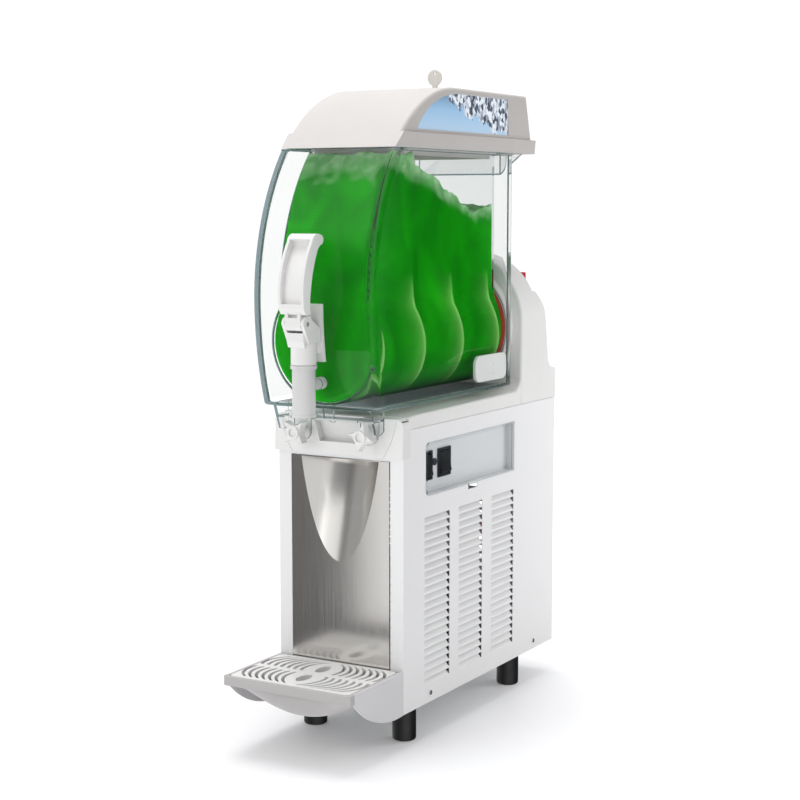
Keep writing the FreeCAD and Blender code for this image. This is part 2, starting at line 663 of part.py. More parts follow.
def gearbox_housing():
    block = box((-37.0, 37.0), (348.5, 386.0), (486.0, 578.0))
    block = rounded(block, 10.0, lambda middle, direction: along(direction, Y_AXIS))
    room = box((-34.0, 34.0), (352.0, 382.5), (489.0, 575.0))
    shaft_hole = rod_y(6.3, 0.0, (340.0, 390.0), AXIS_Z)
    motor_hole = rod_y(3.3, 0.0, (380.0, 390.0), PINION_Z)
    return cut_all(block, [room, shaft_hole, motor_hole])


def gear_motor():
    can = rod_y(26.0, 0.0, (386.0, 420.0), PINION_Z)
    can = rounded(can, 3.0, lambda middle, direction: middle.y > 419)
    return can.cut(rod_y(3.3, 0.0, (380.0, 400.0), PINION_Z))


# Refrigeration

def compressor():
    pot = rod_z(56.0, 0.0, 275.0, (66.0, 176.0))
    pot = rounded(pot, 26.0, lambda middle, direction: middle.z > 175)
    pot = rounded(pot, 14.0, lambda middle, direction: middle.z < 67)
    seam = rod_z(58.0, 0.0, 275.0, (116.0, 119.0))
    plate = both(70.0, (205.0, 345.0), (60.0, 63.0))
    stem = rod_z(30.0, 0.0, 275.0, (62.0, 70.0))
    holes = [rod_z(5.0, x, depth, (50.0, 70.0)) for x in (-60.0, 60.0) for depth in (215.0, 335.0)]
    return fuse_all([pot, seam, plate, stem]).cut(Part.makeCompound(holes))


def condenser_coil():
    """Finned block behind the front louvres: plates on a serpentine tube."""
    fins = [box((-80.0, 80.0), (70.0, 100.0), (z, z + 1.0)) for z in range(72, 240, 12)]
    tubes = [rod_z(3.5, x, 85.0, (66.0, 250.0)) for x in (-70.0, -42.0, -14.0, 14.0, 42.0, 70.0)]
    plates = [box((x, x + 1.2), (68.0, 102.0), (49.7, 250.0)) for x in (-82.0, 80.8)]
    return fuse_all([fuse_all(fins + plates)] + tubes)


def fan_shroud():
    plate = both(82.0, (102.5, 104.5), (50.0, 250.0))
    ring = rod_y(80.0, 0.0, (102.5, 122.0), FAN_Z).cut(rod_y(77.5, 0.0, (100.0, 125.0), FAN_Z))
    hole = rod_y(77.5, 0.0, (100.0, 125.0), FAN_Z)
    spokes = []
    for turn in (45.0, 135.0):
        arm = box((-80.0, 80.0), (120.0, 122.0), (FAN_Z - 4.0, FAN_Z + 4.0))
        arm.rotate(V(0, 0, FAN_Z), Y_AXIS, turn)
        spokes.append(arm)
    shaft_hole = rod_y(3.1, 0.0, (115.0, 125.0), FAN_Z)
    return fuse_all([plate.cut(hole), ring] + spokes).cut(shaft_hole)


def condenser_fan():
    hub = rod_y(18.0, 0.0, (106.0, 117.0), FAN_Z)
    blades = []
    for number in range(5):
        blade = box((14.0, 73.0), (110.8, 112.2), (FAN_Z - 20.0, FAN_Z + 20.0))
        blade.rotate(V(0, 111.5, FAN_Z), X_AXIS, 14.0)
        blade.rotate(V(0, 0, FAN_Z), Y_AXIS, 72.0 * number)
        blades.append(blade)
    fan = fuse_all([hub] + blades)
    return fan.cut(rod_y(3.05, 0.0, (100.0, 125.0), FAN_Z))


def fan_motor():
    can = rod_y(26.0, 0.0, (122.0, 168.0), FAN_Z)
    can = rounded(can, 4.0, lambda middle, direction: middle.y > 167)
    return can.fuse(rod_y(3.0, 0.0, (106.0, 122.0), FAN_Z))


def pipe(points, radius):
    """A bent tube: straight runs with a ball at each bend."""
    pieces = []
    for start, end in zip(points, points[1:]):
        run = V(*end) - V(*start)
        pieces.append(Part.makeCylinder(radius, run.Length, V(*start), run))
    for point in points[1:-1]:
        pieces.append(Part.makeSphere(radius, V(*point)))
    return fuse_all(pieces)


def refrigerant_pipes():
    discharge = pipe([(-45.0, 245.0, 150.0), (-88.0, 245.0, 150.0), (-88.0, 85.0, 150.0), (-82.5, 85.0, 150.0)], 2.4)
    liquid = pipe([(74.0, 85.0, 250.0), (74.0, 85.0, 256.0), (74.0, 236.0, 256.0)], 2.4)
    suction = pipe([(40.0, 300.0, 160.0), (40.0, 300.0, 220.0), (50.0, 354.0, 300.0), (50.0, 354.0, AXIS_Z),
                    (50.0, 332.0, AXIS_Z), (17.0, 322.0, AXIS_Z), (17.0, 298.0, AXIS_Z), (38.0, 292.0, AXIS_Z)], 4.0)
    feed = pipe([(74.0, 300.0, 256.0), (57.0, 330.0, 268.0), (57.0, 354.0, 290.0), (57.0, 354.0, AXIS_Z),
                 (57.0, 334.0, AXIS_Z), (18.0, 318.0, AXIS_Z + 11.0), (18.0, 296.0, AXIS_Z + 11.0)], 1.4)
    evaporator_coil = laid_along_y(coil(46.5, 3.6, 16.0, 208.0), DRUM_FRONT + 14)
    return Part.makeCompound([discharge, liquid, suction, feed, evaporator_coil, filter_drier()])


def filter_drier():
    body = rod_y(9.0, 74.0, (244.0, 292.0), 256.0)
    tips = [rod_y(4.0, 74.0, depth, 256.0) for depth in ((236.0, 246.0), (290.0, 300.0))]
    return fuse_all([body] + tips)


# Controls

def switch_panel():
    """Open tray behind the window: a back plate with a wall all round."""
    outer = window_blank(2.5, (83.0, CASE_HALF - SHEET - 0.4))
    room = window_blank(-0.8, (84.5, CASE_HALF + 1.0))
    seats = [box((80.0, 90.0), depth, (350.5, 385.5)) for depth in ROCKER_DEPTHS]
    lamp_seat = rod_x(4.05, (80.0, 90.0), LAMP_DEPTH, LAMP_Z)
    return cut_all(outer, [room, lamp_seat] + seats)


def switch_bodies():
    pieces = []
    for near, far in ROCKER_DEPTHS:
        bezel = box((84.5, 87.0), (near - 1.2, far + 1.2), (348.4, 387.6))
        body = box((62.0, 84.5), (near + 0.4, far - 0.4), (350.8, 385.2))
        well = box((70.0, 88.0), (near + 2.4, far - 2.4), (351.8, 384.2))
        pieces.append(bezel.fuse(body).cut(well))
    return Part.makeCompound(pieces)


def rocker(depth):
    """A rocking button, pressed in at its top, whose two faces meet at a shallow angle."""
    near, far = depth[0] + 2.8, depth[1] - 2.8
    outline = [(ROCKER_X - 6.0, 358.0), (ROCKER_X + 2.2, 353.4), (ROCKER_X + 5.2, 355.0), (ROCKER_X + 2.0, 368.5),
               (ROCKER_X + 1.6, 382.2), (ROCKER_X - 1.0, 382.4), (ROCKER_X - 6.0, 378.0)]
    pivot = rod_y(2.0, ROCKER_PIVOT[0], (near - 0.3, far + 0.3), ROCKER_PIVOT[1])
    return front_prism(outline, (near, far)).fuse(pivot)


def status_lamp():
    stem = rod_x(4.0, (70.0, 84.5), LAMP_DEPTH, LAMP_Z)
    lens = rod_x(5.0, (84.5, 87.0), LAMP_DEPTH, LAMP_Z)
    lens = rounded(lens, 1.5, lambda middle, direction: middle.x > 86.9)
    return stem.fuse(lens)


def window_door():
    """Clear flap, hinged along its top edge, with a stiffening rim and a finger clip below."""
    flap = window_blank(0.0, (96.2, 97.8))
    rim = window_blank(-2.0, (94.6, 96.2)).cut(window_blank(-4.0, (94.0, 97.0)))
    clip = box((96.2, 97.8), (180.0, 204.0), (325.0, 333.0))
    hinge_bead = rod_y(0.8, HINGE_X, (68.5, 320.2), HINGE_Z)
    return fuse_all([flap, rim, clip, hinge_bead])


def control_board():
    board = box((52.0, 53.6), (160.0, 310.0), (338.0, 418.0))
    parts = [box((53.6, 68.0), (175.0, 205.0), (350.0, 380.0)), box((53.6, 62.0), (225.0, 250.0), (345.0, 370.0)),
             box((53.6, 60.0), (262.0, 300.0), (380.0, 405.0)), rod_x(6.0, (53.6, 66.0), 232.0, 398.0)]
    posts = [box((53.6, 83.0), (depth - 2.5, depth + 2.5), (z - 2.5, z + 2.5))
             for depth in (166.0, 304.0) for z in (342.0,)]
    return fuse_all([board] + parts + posts)


# Tap

def tap_tube():
    tube = rod_z(15.0, 0.0, TAP_DEPTH, (SPOUT_Z, 512.8))
    collar = rod_z(17.0, 0.0, TAP_DEPTH, (508.0, 512.8))
    band = rod_z(15.8, 0.0, TAP_DEPTH, (SPOUT_Z, SPOUT_Z + 3))
    port = rod_y(8.0, 0.0, (TAP_DEPTH + 8, -42.0), PORT_Z)
    bore = rod_z(12.5, 0.0, TAP_DEPTH, (SPOUT_Z - 5, 520.0))
    channel = rod_y(5.0, 0.0, (TAP_DEPTH, -40.0), PORT_Z)
    return fuse_all([tube, collar, band, port]).cut(bore).cut(channel)


def tap_bonnet():
    """Collar over the tube, an apron and two ears for the handle's pin, and a plate on the bowl's front."""
    collar = rod_z(16.4, 0.0, TAP_DEPTH, (512.8, 545.0))
    collar = rounded(collar, 2.0, lambda middle, direction: middle.z < 513)
    ear = side_prism([(-110.5, 566.0), (-101.0, 575.5, "arc"), (-92.0, 572.0), (-73.0, 560.0), (-70.0, 541.0),
                      (-97.0, 541.0)], (12.2, 16.4))
    plate_front = front_points(-4.4, 516.0, 590.0)
    plate_back = front_points(-0.4, 516.0, 590.0)
    plate = side_prism(plate_front + plate_back[::-1], (-19.0, 19.0))
    apron = side_prism([(-101.4, 536.0), (-104.5, 544.0), (-104.5, 554.5), (-99.0, 554.5), (-99.0, 536.0)],
                       (-12.6, 12.6))
    bridge = box((-14.0, 14.0), (-74.0, -67.5), (528.0, 545.0))
    bridge = bridge.cut(bowl_block(-0.4, 60.0, 500.0, 600.0, 0.0))
    room = rod_z(12.6, 0.0, TAP_DEPTH, (510.0, 541.0))
    rod_hole = rod_z(5.8, 0.0, TAP_DEPTH, (540.0, 550.0))
    pin_hole = rod_x(3.0, (-30.0, 30.0), PIVOT_DEPTH, PIVOT_Z)
    return cut_all(fuse_all([collar, ear, mirrored(ear), apron, plate, bridge]), [room, rod_hole, pin_hole])


def tap_pin():
    pin = rod_x(3.0, (-17.6, 17.6), PIVOT_DEPTH, PIVOT_Z)
    return rounded(pin, 0.8, lambda middle, direction: abs(middle.x) > 17.5)


def tap_piston():
    """Guide stem, plug, rod, and a head with a window for the handle's finger."""
    guide = (SPOUT_Z + 4, 480.0)
    fins = [box((-11.6, 11.6), (TAP_DEPTH - 4.5, TAP_DEPTH + 4.5), guide),
            box((-4.5, 4.5), (TAP_DEPTH - 11.2, TAP_DEPTH + 11.2), guide)]
    plug = rod_z(12.1, 0.0, TAP_DEPTH, (479.0, 497.0))
    grooves = [rod_z(13.0, 0.0, TAP_DEPTH, z).cut(rod_z(10.6, 0.0, TAP_DEPTH, z)) for z in SEAL_HEIGHTS]
    rod = rod_z(5.5, 0.0, TAP_DEPTH, (496.0, 549.0))
    head = both(9.0, (TAP_DEPTH - 4.5, TAP_DEPTH + 4.5), (548.0, 575.0))
    window = both(4.6, (TAP_DEPTH - 6.0, TAP_DEPTH + 6.0), (555.0, 571.2))
    return cut_all(fuse_all(fins + [plug, rod, head]), grooves + [window])


def piston_seals():
    rings = []
    for low, high in SEAL_HEIGHTS:
        ring = rod_z(12.2, 0.0, TAP_DEPTH, (low, high)).cut(rod_z(10.6, 0.0, TAP_DEPTH, (low - 1, high + 1)))
        rings.append(ring)
    return Part.makeCompound(rings)


def tap_spring():
    """Compression spring between the plug and the bonnet, wound from eight-sided wire."""
    radius = 9.2
    wire = 0.8
    path = Part.Wire(Part.makeHelix(5.0, 42.0, radius).Edges)
    corners = [V(radius + wire * math.cos(math.radians(45 * n)), 0, wire * math.sin(math.radians(45 * n)))
               for n in range(9)]
    spring = path.makePipeShell([Part.makePolygon(corners)], True, True)
    spring.translate(V(0, TAP_DEPTH, 498.0))
    return spring


def tap_handle():
    """A trough-shaped paddle that follows the bowl's front, on a hub with a finger that lifts the piston."""
    outline = [(-108.0, 578.0), (-112.5, 585.0), (-112.0, 624.0, "arc"), (-93.0, 668.0), (-86.0, 677.0, "arc"),
               (-74.0, 677.5), (-67.0, 671.0, "arc"), (-74.0, 664.5), (-80.0, 659.0), (-93.0, 625.0, "arc"),
               (-98.5, 585.0), (-97.0, 578.0)]
    paddle = side_prism(outline, (-19.0, 19.0))
    trough = [(-120.0, 591.0), (-106.5, 591.0), (-104.5, 624.0, "arc"), (-85.0, 663.0), (-86.0, 669.0), (-100.0, 676.0),
              (-120.0, 676.0)]
    paddle = paddle.cut(side_prism(trough, (-15.2, 15.2)))
    neck = box((-11.6, 11.6), (-110.0, -96.0), (562.0, 582.0))
    neck = neck.cut(box((-7.0, 7.0), (-112.0, -104.0), (574.0, 581.0)))
    hub = rod_x(9.0, (-11.9, 11.9), PIVOT_DEPTH, PIVOT_Z)
    finger = side_prism([(-101.0, 569.2), (-77.5, 565.0), (-77.0, 560.0), (-101.0, 562.8)], (-4.0, 4.0))
    bore = rod_x(3.05, (-30.0, 30.0), PIVOT_DEPTH, PIVOT_Z)
    return fuse_all([paddle, neck, hub, finger]).cut(bore)


def knob(x, turn):
    """A star knob with four pointed wings, a dished centre and a shank that enters the front housing."""
    tips = []
    for wing in range(4):
        angle = math.radians(turn + 90.0 * wing)
        dip = math.radians(turn + 45.0 + 90.0 * wing)
        tips.append((x + 19.5 * math.cos(angle), KNOB_Z + 19.5 * math.sin(angle)))
        tips.append((x + 9.4 * math.cos(dip), KNOB_Z + 9.4 * math.sin(dip), "arc"))
    star = front_prism(tips, (-33.0, -20.0))
    hub = rod_y(8.6, x, (-36.0, -24.0), KNOB_Z)
    skirt = Part.makeCone(7.0, 11.0, 12.0, V(x, -24.0, KNOB_Z), Y_AXIS)
    dish = rod_y(6.0, x, (-37.0, -33.5), KNOB_Z)
    shank = rod_y(4.0, x, (-14.0, 8.0), KNOB_Z)
    body = fuse_all([star, hub, skirt])
    return body.cut(dish).fuse(shank)


# Lid

def lid_block(inset, half, low):
    """The lid's side profile: a bowed front, a flat top and a sloping back."""
    nodes = [V(-half, depth + inset, z - 0.7 * inset) for depth, z in LID_FRONT]
    curve = Part.BSplineCurve()
    curve.interpolate(nodes)
    roof = LID_TOP - 0.7 * inset
    corners = [nodes[-1], V(-half, 376.0 - inset, roof), V(-half, 393.0 - inset, LID_STEP),
               V(-half, 393.0 - inset, nodes[0].z), nodes[0]]
    edges = [curve.toShape()] + [Part.makeLine(a, b) for a, b in zip(corners, corners[1:])]
    block = Part.Face(Part.Wire(edges)).extrude(V(2 * half, 0, 0))
    return block.common(both(200.0, (-50.0, 450.0), (low, 900.0)))


def lid_band():
    half = LID_HALF + 2.5
    outline = [(-half + 1.6, LID_LOW), (half - 1.6, LID_LOW), (half, LID_STEP), (-half, LID_STEP)]
    band = front_prism(outline, (-4.0, 401.0))
    return band.cut(side_prism([(-6.0, LID_LOW - 1), (-5.0, LID_LOW - 1), (18.0, LID_STEP + 2), (-6.0, LID_STEP + 2)],
                               (-100.0, 100.0)))


def lid_pane(x):
    """The outline of the lit side window: a flat foot, and a front that follows the lid's bow."""
    nodes = [V(x[0], depth, z) for depth, z in WINDOW_PANE[:5]]
    curve = Part.BSplineCurve()
    curve.interpolate(nodes)
    corners = [nodes[-1]] + [V(x[0], depth, z) for depth, z in WINDOW_PANE[5:]] + [nodes[0]]
    edges = [curve.toShape()] + [Part.makeLine(a, b) for a, b in zip(corners, corners[1:])]
    return Part.Face(Part.Wire(edges)).extrude(V(x[1] - x[0], 0, 0))


def lid_shell():
    top = lid_block(0.0, LID_HALF, LID_LOW)
    top = rounded(top, 6.0, lambda middle, direction: abs(middle.x) > LID_HALF - 0.1 and middle.z > LID_STEP + 4)
    shell = fuse_all([top, lid_band()])
    room = lid_block(3.0, LID_HALF - 3.0, LID_LOW - 10)
    panes = [lid_pane((LID_HALF - 5.0, LID_HALF + 5.0)), lid_pane((-LID_HALF - 5.0, -LID_HALF + 5.0))]
    lock_hole = rod_z(9.05, 0.0, KEY_DEPTH, (840.0, 880.0))
    return cut_all(shell, [room, lock_hole] + panes)


def lid_windows():
    pane = lid_pane((LID_HALF - 2.8, LID_HALF - 0.8))
    return Part.makeCompound([pane, mirrored(pane)])


def lid_liner():
    plate = both(82.5, (14.0, 386.0), (LID_LOW + 1.0, LID_LOW + 4.0))
    lip = both(66.0, (41.0, 296.0), (779.0, LID_LOW + 1.0)).cut(both(63.5, (43.5, 293.5), (770.0, LID_LOW + 1.0)))
    lip = rounded(lip, 5.0, lambda middle, direction: along(direction, Z_AXIS) and abs(middle.x) > 65)
    return plate.fuse(lip)


def lid_lamp():
    base = both(9.0, (90.0, 300.0), (LID_LOW + 4.0, LID_LOW + 7.0))
    dots = [both(3.0, (depth, depth + 6.0), (LID_LOW + 7.0, LID_LOW + 9.0)) for depth in range(100, 295, 16)]
    return fuse_all([base] + dots)


def lid_bracket():
    """Thin wedge under the rear overhang of the lid."""
    cheek = side_prism([(326.0, LID_LOW), (398.0, LID_LOW), (326.0, 757.0)], (66.0, 68.0))
    web = side_prism([(398.0, LID_LOW), (326.0, 757.0), (326.0, 759.2), (393.0, LID_LOW)], (-66.0, 66.0))
    return fuse_all([cheek, mirrored(cheek), web])


def lid_lock():
    """Barrel and collar, with the cam below them as a second solid."""
    barrel = rod_z(9.0, 0.0, KEY_DEPTH, (846.0, LID_TOP + 1.5))
    collar = rod_z(11.0, 0.0, KEY_DEPTH, (LID_TOP + 0.1, LID_TOP + 2.4))
    collar = rounded(collar, 0.8, lambda middle, direction: middle.z > LID_TOP + 2.3)
    slot = both(4.2, (KEY_DEPTH - 1.3, KEY_DEPTH + 1.3), (852.0, LID_TOP + 5))
    cam = both(6.0, (KEY_DEPTH - 8.0, KEY_DEPTH + 30.0), (843.0, 846.0))
    cam = rounded(cam, 5.0, lambda middle, direction: along(direction, Z_AXIS))
    return Part.makeCompound([fuse_all([barrel, collar]).cut(slot), cam])


def key():
    bow_z = 892.5
    bow = rod_y(11.0, 0.0, (KEY_DEPTH - 1.1, KEY_DEPTH + 1.1), bow_z)
    bow = bow.cut(both(12.0, (KEY_DEPTH - 5, KEY_DEPTH + 5), (903.2, 910.0)))
    hole = rod_y(1.8, 0.0, (KEY_DEPTH - 5, KEY_DEPTH + 5), 898.5)
    blade = both(3.9, (KEY_DEPTH - 1.0, KEY_DEPTH + 1.0), (853.0, 884.0))
    notches = [box((3.0, 5.0), (KEY_DEPTH - 5, KEY_DEPTH + 5), (z, z + 1.8)) for z in (856.0, 861.0, 866.0)]
    return cut_all(bow.fuse(blade), [hole] + notches)


def main():
    os.makedirs("parts", exist_ok=True)
    put("base_pan", base_pan())
    put("feet", feet())
    put("front_frame", front_frame())
    put("splash_panel", splash_panel())
    put("side_panel_right", side_panel(True))
    put("side_panel_left", mirrored(side_panel(False)))
    put("rear_panel", rear_panel())
    put("top_deck", top_deck())
    put("front_housing", front_housing())
    put("column_shell", column_shell())
    put("rear_cover", rear_cover())
    put("bulkhead", bulkhead())
    put("screws", screws())
    put("power_inlet", power_inlet())
    put("density_adjuster", density_adjuster())
    put("tray_bracket", tray_bracket())
    put("drip_tray", drip_tray())
    put("drip_grid", drip_grid())
    put("bowl_outer", bowl_outer())
    put("bowl_inner", bowl_inner())
    put("desiccant_cartridge", desiccant_cartridge())
    put("drum_flange", drum_flange())
    put("drum_gasket", drum_gasket())
    put("evaporator_drum", evaporator_drum())
    put("shaft_seal", shaft_seal())
    put("auger", auger())
    put("drive_shaft", drive_shaft())
    put("output_gear", output_gear())
    put("motor_pinion", motor_pinion())
    put("gearbox_housing", gearbox_housing())
    put("gear_motor", gear_motor())
    put("compressor", compressor())
    put("condenser_coil", condenser_coil())
    put("fan_shroud", fan_shroud())
    put("condenser_fan", condenser_fan())
    put("fan_motor", fan_motor())
    put("refrigerant_pipes", refrigerant_pipes())
    put("switch_panel", switch_panel())
    put("switch_bodies", switch_bodies())
    put("rocker_front", rocker(ROCKER_DEPTHS[0]))
    put("rocker_rear", rocker(ROCKER_DEPTHS[1]))
    put("status_lamp", status_lamp())
    put("window_door", window_door())
    put("control_board", control_board())
    put("tap_tube", tap_tube())
    put("tap_bonnet", tap_bonnet())
    put("tap_pin", tap_pin())
    put("tap_piston", tap_piston())
    put("piston_seals", piston_seals())
    put("tap_spring", tap_spring())
    put("tap_handle", tap_handle())
    put("knob_right", knob(KNOB_X, 78.0))
    put("knob_left", knob(-KNOB_X, 45.0))
    put("lid_shell", lid_shell())
    put("lid_windows", lid_windows())
    put("lid_liner", lid_liner())
    put("lid_lamp", lid_lamp())
    put("lid_bracket", lid_bracket())
    put("lid_lock", lid_lock())
    put("key", key())


main()
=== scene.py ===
import json
import math

import bmesh
import bpy
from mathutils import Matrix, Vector, noise


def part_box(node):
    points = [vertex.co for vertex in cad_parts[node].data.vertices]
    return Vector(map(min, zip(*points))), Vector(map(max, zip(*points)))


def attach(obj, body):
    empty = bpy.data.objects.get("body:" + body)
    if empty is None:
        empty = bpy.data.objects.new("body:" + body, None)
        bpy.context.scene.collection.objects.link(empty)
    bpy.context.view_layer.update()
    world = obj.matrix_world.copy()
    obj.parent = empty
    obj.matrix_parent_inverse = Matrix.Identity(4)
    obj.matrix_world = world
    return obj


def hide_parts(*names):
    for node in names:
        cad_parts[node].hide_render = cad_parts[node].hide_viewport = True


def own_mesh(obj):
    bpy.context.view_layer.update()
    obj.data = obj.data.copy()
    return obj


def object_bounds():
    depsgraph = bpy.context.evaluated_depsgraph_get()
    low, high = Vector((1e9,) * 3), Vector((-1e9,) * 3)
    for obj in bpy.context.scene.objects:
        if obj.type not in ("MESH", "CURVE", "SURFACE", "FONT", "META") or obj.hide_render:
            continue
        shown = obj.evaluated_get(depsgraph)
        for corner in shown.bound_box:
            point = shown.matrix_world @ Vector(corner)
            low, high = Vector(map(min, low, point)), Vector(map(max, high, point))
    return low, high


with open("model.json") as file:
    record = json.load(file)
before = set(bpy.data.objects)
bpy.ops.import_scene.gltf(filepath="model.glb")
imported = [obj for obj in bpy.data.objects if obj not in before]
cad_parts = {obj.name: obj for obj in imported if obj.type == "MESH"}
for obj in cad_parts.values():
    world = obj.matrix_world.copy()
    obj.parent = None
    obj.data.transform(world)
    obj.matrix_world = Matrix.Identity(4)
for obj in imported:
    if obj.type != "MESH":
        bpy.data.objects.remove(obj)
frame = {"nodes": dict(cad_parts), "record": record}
cad_low, cad_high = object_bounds()

MM = 0.001
CASE_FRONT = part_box("front_frame")[0].y / MM

# The vessel, drum and auger, in millimetres, with depths behind the front frame. The tank's front leans back
# in an arc above the crest, and its foot is a round chamber about the drum.
AXIS_Z = 538.0
CREST_Z = 592.0
CREST_DEPTH = -68.0
UPPER_SWEEP = 320.0
TANK_HALF = 66.8
TANK_REAR = 297.6
TANK_CORNER = 8.0
CHAMBER_FRONT = -38.6
CHAMBER_REAR = 307.0
CHAMBER_TOP = 590.0
REAR_BLEND = 8.0
DRUM_RADIUS = 52.0
DRUM_FRONT = 60.0
SEAL_RADIUS = 15.0
SEAL_FRONT = 51.0
AUGER_PITCH = 107.0
AUGER_START = 22.0
AUGER_TURN = 150.0
AUGER_BORE = 77.4

# The frozen drink. Its surface is given by heights at a few depths, from front to rear. Below the neck, which
# is at an angle about the axis, its sides are the round chamber.
DRINK_TOP = ((-40, 781), (22, 781), (53, 763), (107, 755), (154, 734), (182, 728), (217, 714), (242, 704),
             (300, 713))
DRINK_LIMIT = 786.0
DRINK_RADIUS = 78.2
DRINK_GAP = 0.4
SURFACE_FRONT = CHAMBER_FRONT + 20.0
SHOULDER = 12.0
NECK_SHARE = 0.45
NECK_ANGLE = math.radians(150)
ACROSS_STEPS = 48
BACK_STEPS = 170
UP_STEPS = 150
CROWDING = 0.75

# Waves that roughen the surface: height, width, length and seed
HEAPS = (6.0, 34, 30, 3.1)
CRUMBS = (3.4, 13, 12, 7.7)
GRAINS = (1.2, 5, 5, 1.3)

# The bore that is cut for the auger: the skin left at its front, its sloped edge, and its run past the rear
BORE_SKIN = 1.2
BORE_SLOPE_WIDTH = 6.0
BORE_SLOPE_END = 7.0
BORE_PAST = 5.0
BORE_SIDES = 160

# The drink on the auger. Its nose is given by insets and depths, and it sinks between the blade's turns.
MIX_FRONT = CHAMBER_FRONT + 2.0
MIX_REAR = CHAMBER_REAR - 1.5
MIX_NOSE = ((8.0, 0.0), (2.0, 2.6), (0.0, 6.6))
MIX_START = 8.6
MIX_CORNER = 1.5
MIX_STEPS = 110
MIX_SIDES = 150
DIP = 5.0
DIP_FRONT = 10.0
DIP_START = 3.5
DIP_END = 17.5

# Frost at the surface, thicker near the front, and the lobes that the blade presses against the wall: paler
# pressed drink, with a painted highlight along the blade and painted shade behind it
FROST_DEPTH = 17.0
FROST_AHEAD = 40.0
FROST_THICKER = 1.3
FROST_UNEVEN = 0.5
FROST_SPOT = 16
FROST_SHARE = 0.8
FROST_EXTRA = 0.4
LOBE_TOP = 625.0
LOBE_FADE = 40.0
LOBE_FRONT = CHAMBER_FRONT + 12.0
LOBE_TAIL = 14.0
LOBE_CORE = 2.5
LOBE_END = 2.0

WELD = 1e-5
SHARP_ANGLE = math.radians(50)
BEVEL_ANGLE = math.radians(35)

# The tap's spring, with its wire's radius in metres
SPRING_WIRE = 0.0008
SPRING_TURNS = 8.4
FLAT_TURN = 0.75
SPRING_STEPS = 28
SPRING_SIDES = 10

# The camera and the floor, in metres, with angles in degrees and the lens in millimetres
CAMERA_PLACE = (1.1801, -2.0306, 0.7159)
CAMERA_PITCH = -6.62
CAMERA_YAW = 30.24
CAMERA_LENS = 76.09
CAMERA_SENSOR = 36.0
FLOOR_X = (-4.0, 1.2)
FLOOR_Y = (-4.0, 2.5)
FLOOR_CUTS = 12


def at(x, depth, z):
    """A place in metres, from millimetres and a depth behind the front frame."""
    return Vector((x, depth + CASE_FRONT, z)) * MM


# Materials

class Nodes:
    """A node tree, with short ways to add the nodes that the world and the materials share."""

    def __init__(self, tree):
        self.tree = tree

    def add(self, kind):
        return self.tree.nodes.new("ShaderNode" + kind)

    def fill(self, socket, value):
        """Link a socket to a node's output, or set it to a plain value."""
        if isinstance(value, bpy.types.NodeSocket):
            self.tree.links.new(value, socket)
        else:
            socket.default_value = value

    def maths(self, operation, first, second):
        node = self.add("Math")
        node.operation = operation
        self.fill(node.inputs[0], first)
        self.fill(node.inputs[1], second)
        return node.outputs["Value"]

    def spread(self, value, source, target, easing="LINEAR"):
        """The value, carried from the source range to the target range and kept inside it."""
        node = self.add("MapRange")
        node.interpolation_type = easing
        self.fill(node.inputs["Value"], value)
        for name, number in zip(("From Min", "From Max", "To Min", "To Max"), (*source, *target)):
            node.inputs[name].default_value = number
        return node.outputs["Result"]

    def blend(self, share, first, second):
        """One shader or another, by a share from 0 to 1."""
        node = self.add("MixShader")
        for socket, value in zip(node.inputs, (share, first, second)):
            self.fill(socket, value)
        return node.outputs["Shader"]


